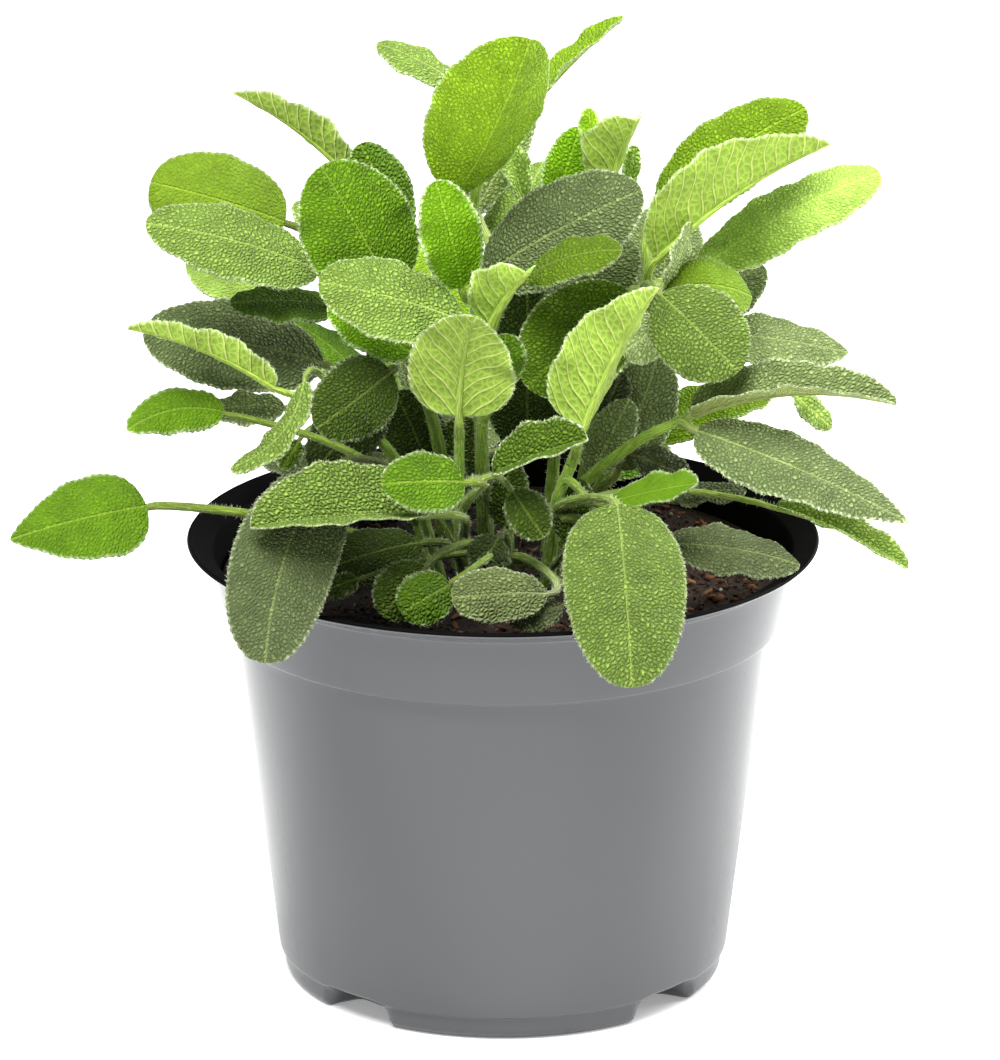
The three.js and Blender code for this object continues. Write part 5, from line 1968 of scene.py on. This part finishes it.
@dataclass(frozen=True)
class Studio:
    """A white floor under soft light, and the camera at the eye that the plant is laid out for.

    The floor's size and the lamps' places and sizes are in metres, and the lamps face the plant's middle.
    The picture's size, the focal length and the rim's middle are in pixels.
    """

    image: tuple[int, int] = (1000, 1060)
    focal_pixels: float = 7290.0
    rim_pixel: Two = (503.0, 532.8)
    sensor: float = 36.0
    floor_size: float = 6.0
    card: str = "#F7F7F7"
    light: str = "#FFFFFF"
    world: float = 0.34
    floor_glow: float = 0.26
    middle: Three = (0.0, 0.0, 0.11)
    key_place: Three = (-0.25, -0.55, 1.5)
    key_size: Two = (1.0, 1.0)
    key_watts: float = 46.0
    side_place: Three = (1.0, 0.5, 0.7)
    side_size: Two = (0.7, 1.2)
    side_watts: float = 24.0

    def floor(self) -> None:
        """Lays the floor as a wide white sheet."""
        half = self.floor_size / 2
        corners = [(-half, -half, 0), (half, -half, 0), (half, half, 0), (-half, half, 0)]
        mesh = bpy.data.meshes.new("floor")
        mesh.from_pydata(corners, [], [(0, 1, 2, 3)])
        sheet = bpy.data.objects.new("floor", mesh)
        bpy.context.scene.collection.objects.link(sheet)
        finish = Finish("matt white card")
        finish.set(Base_Color=(*linear(self.card), 1.0), Roughness=0.9, Specular_IOR_Level=0.1)
        finish.set(Emission_Color=(*linear(self.light), 1.0), Emission_Strength=self.floor_glow)
        mesh.materials.append(finish.material)

    def sky(self) -> None:
        """Fills the surroundings with even white light."""
        world = bpy.data.worlds.new("studio")
        world.use_nodes = True
        backdrop = world.node_tree.nodes["Background"]
        backdrop.inputs["Color"].default_value = (*linear(self.light), 1.0)
        backdrop.inputs["Strength"].default_value = self.world
        bpy.context.scene.world = world

    def lamp(self, name: str, place: Sequence[float], size: Two, watts: float) -> None:
        """Hangs a soft box that faces the plant's middle.

        Args:
            name: the lamp's name.
            place: where it hangs.
            size: its width and height.
            watts: its power.
        """
        light = bpy.data.lights.new(name, "AREA")
        light.shape = "RECTANGLE"
        light.size, light.size_y = size
        light.energy = watts
        lamp = bpy.data.objects.new(name, light)
        lamp.location = place
        lamp.rotation_euler = (Vector(self.middle) - Vector(place)).to_track_quat("-Z", "Y").to_euler()
        bpy.context.scene.collection.objects.link(lamp)

    def camera(self) -> None:
        """Stands the camera at the eye, aimed so that the rim's middle falls on its pixel of the picture."""
        wide, high = self.image
        per_mm = self.focal_pixels / EYE_DISTANCE
        right = (wide / 2 - self.rim_pixel[0]) / per_mm
        up = (self.rim_pixel[1] - high / 2) / per_mm
        aim = RIM + EYE_UP * up + np.array([right, 0.0, 0.0])
        data = bpy.data.cameras.new("camera")
        data.sensor_width = self.sensor
        data.lens = self.focal_pixels * self.sensor / max(self.image)
        camera = bpy.data.objects.new("camera", data)
        camera.location = EYE * MM
        camera.rotation_euler = Vector(aim - EYE).to_track_quat("-Z", "Y").to_euler()
        bpy.context.scene.collection.objects.link(camera)
        bpy.context.scene.camera = camera

    def build(self) -> None:
        """Sets the whole stage."""
        self.floor()
        self.sky()
        self.lamp("key", self.key_place, self.key_size, self.key_watts)
        self.lamp("side", self.side_place, self.side_size, self.side_watts)
        self.camera()
        bpy.context.scene.view_settings.view_transform = "Standard"


def leafy_materials() -> list[bpy.types.Material]:
    """Makes the four finishes of a leafy stem.

    The upper side has seams darkened by painted shade, a painted highlight on its pebbles' tops and sunken
    veins, and the underside a paler net and raised veins. The stalk is smoother, and the down is plain.

    Returns:
        Their materials, in the order of Dress.
    """
    # Above, the seams get painted shade and the pebbles' tops a painted highlight.
    upper = LeafSkin(
        "pebbled sage leaf, upper side",
        pebble=0.92,
        roughness=0.55,
        sheen=0.02,
        seam=(0.18, 0.3, 0.1),
        height=0.75,
        painted_highlight=0.2,
        line=-0.4,
        side_vein=0.2,
    )
    # Below, the net is paler, and a negative highlight share paints the cells between it a little darker.
    under = LeafSkin(
        "downy sage leaf, underside",
        pebble=1.4,
        roughness=0.65,
        sheen=0.05,
        seam=(1.4, 1.3, 1.7),
        height=-0.14,
        painted_highlight=-0.1,
        line=-2.0,
        side_vein=1.0,
        paler=(0.24, 0.22, 0.1),
    )
    # On the stalk, the seams get painted shade and the cells' tops a painted highlight.
    stalk = LeafSkin(
        "fleshy sage stalk",
        pebble=0.6,
        roughness=0.5,
        sheen=0.1,
        seam=(0.66, 0.74, 0.5),
        height=0.1,
        painted_highlight=0.2,
    )
    down = LeafSkin("fine leaf down", pebble=2.0, roughness=0.8, sheen=0.2)
    return [finish.make() for finish in (upper, under, stalk, down)]


def main() -> None:
    """Builds the pot, the soil, the leafy stems and the studio."""
    logging.basicConfig(level=logging.INFO)
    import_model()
    Studio().build()
    pot = NurseryPot()
    outer = PotPlastic("grey thermoformed polystyrene", "#4A4C4E", roughness=0.24, wave=0.1, gloss=0.42)
    inner = PotPlastic("black thermoformed polystyrene", "#050505", roughness=0.6, wave=0.12, gloss=0.03)
    pieces = [pot.build([outer.make(), inner.make()])]
    pieces.append(PottingSoil(pot).build([Crumbs().make()]))
    materials = leafy_materials()
    maker = SageMaker()
    back = BackLeaves()
    stems = [*STEMS, *[back.stem(name, plan, k) for k, (name, plan) in enumerate(BACK_STEMS.items())]]
    for number, plan in enumerate(stems):
        pieces.append(maker.stem(plan, materials, seed=FIRST_STEM_SEED + number))
    total = 0
    for piece in pieces:
        piece.data.calc_loop_triangles()
        faces = len(piece.data.loop_triangles)
        total += faces
        LOG.info("%s: %d triangles", piece.name, faces)
    LOG.info("all pieces: %d triangles", total)


if __name__ == "__main__":
    main()
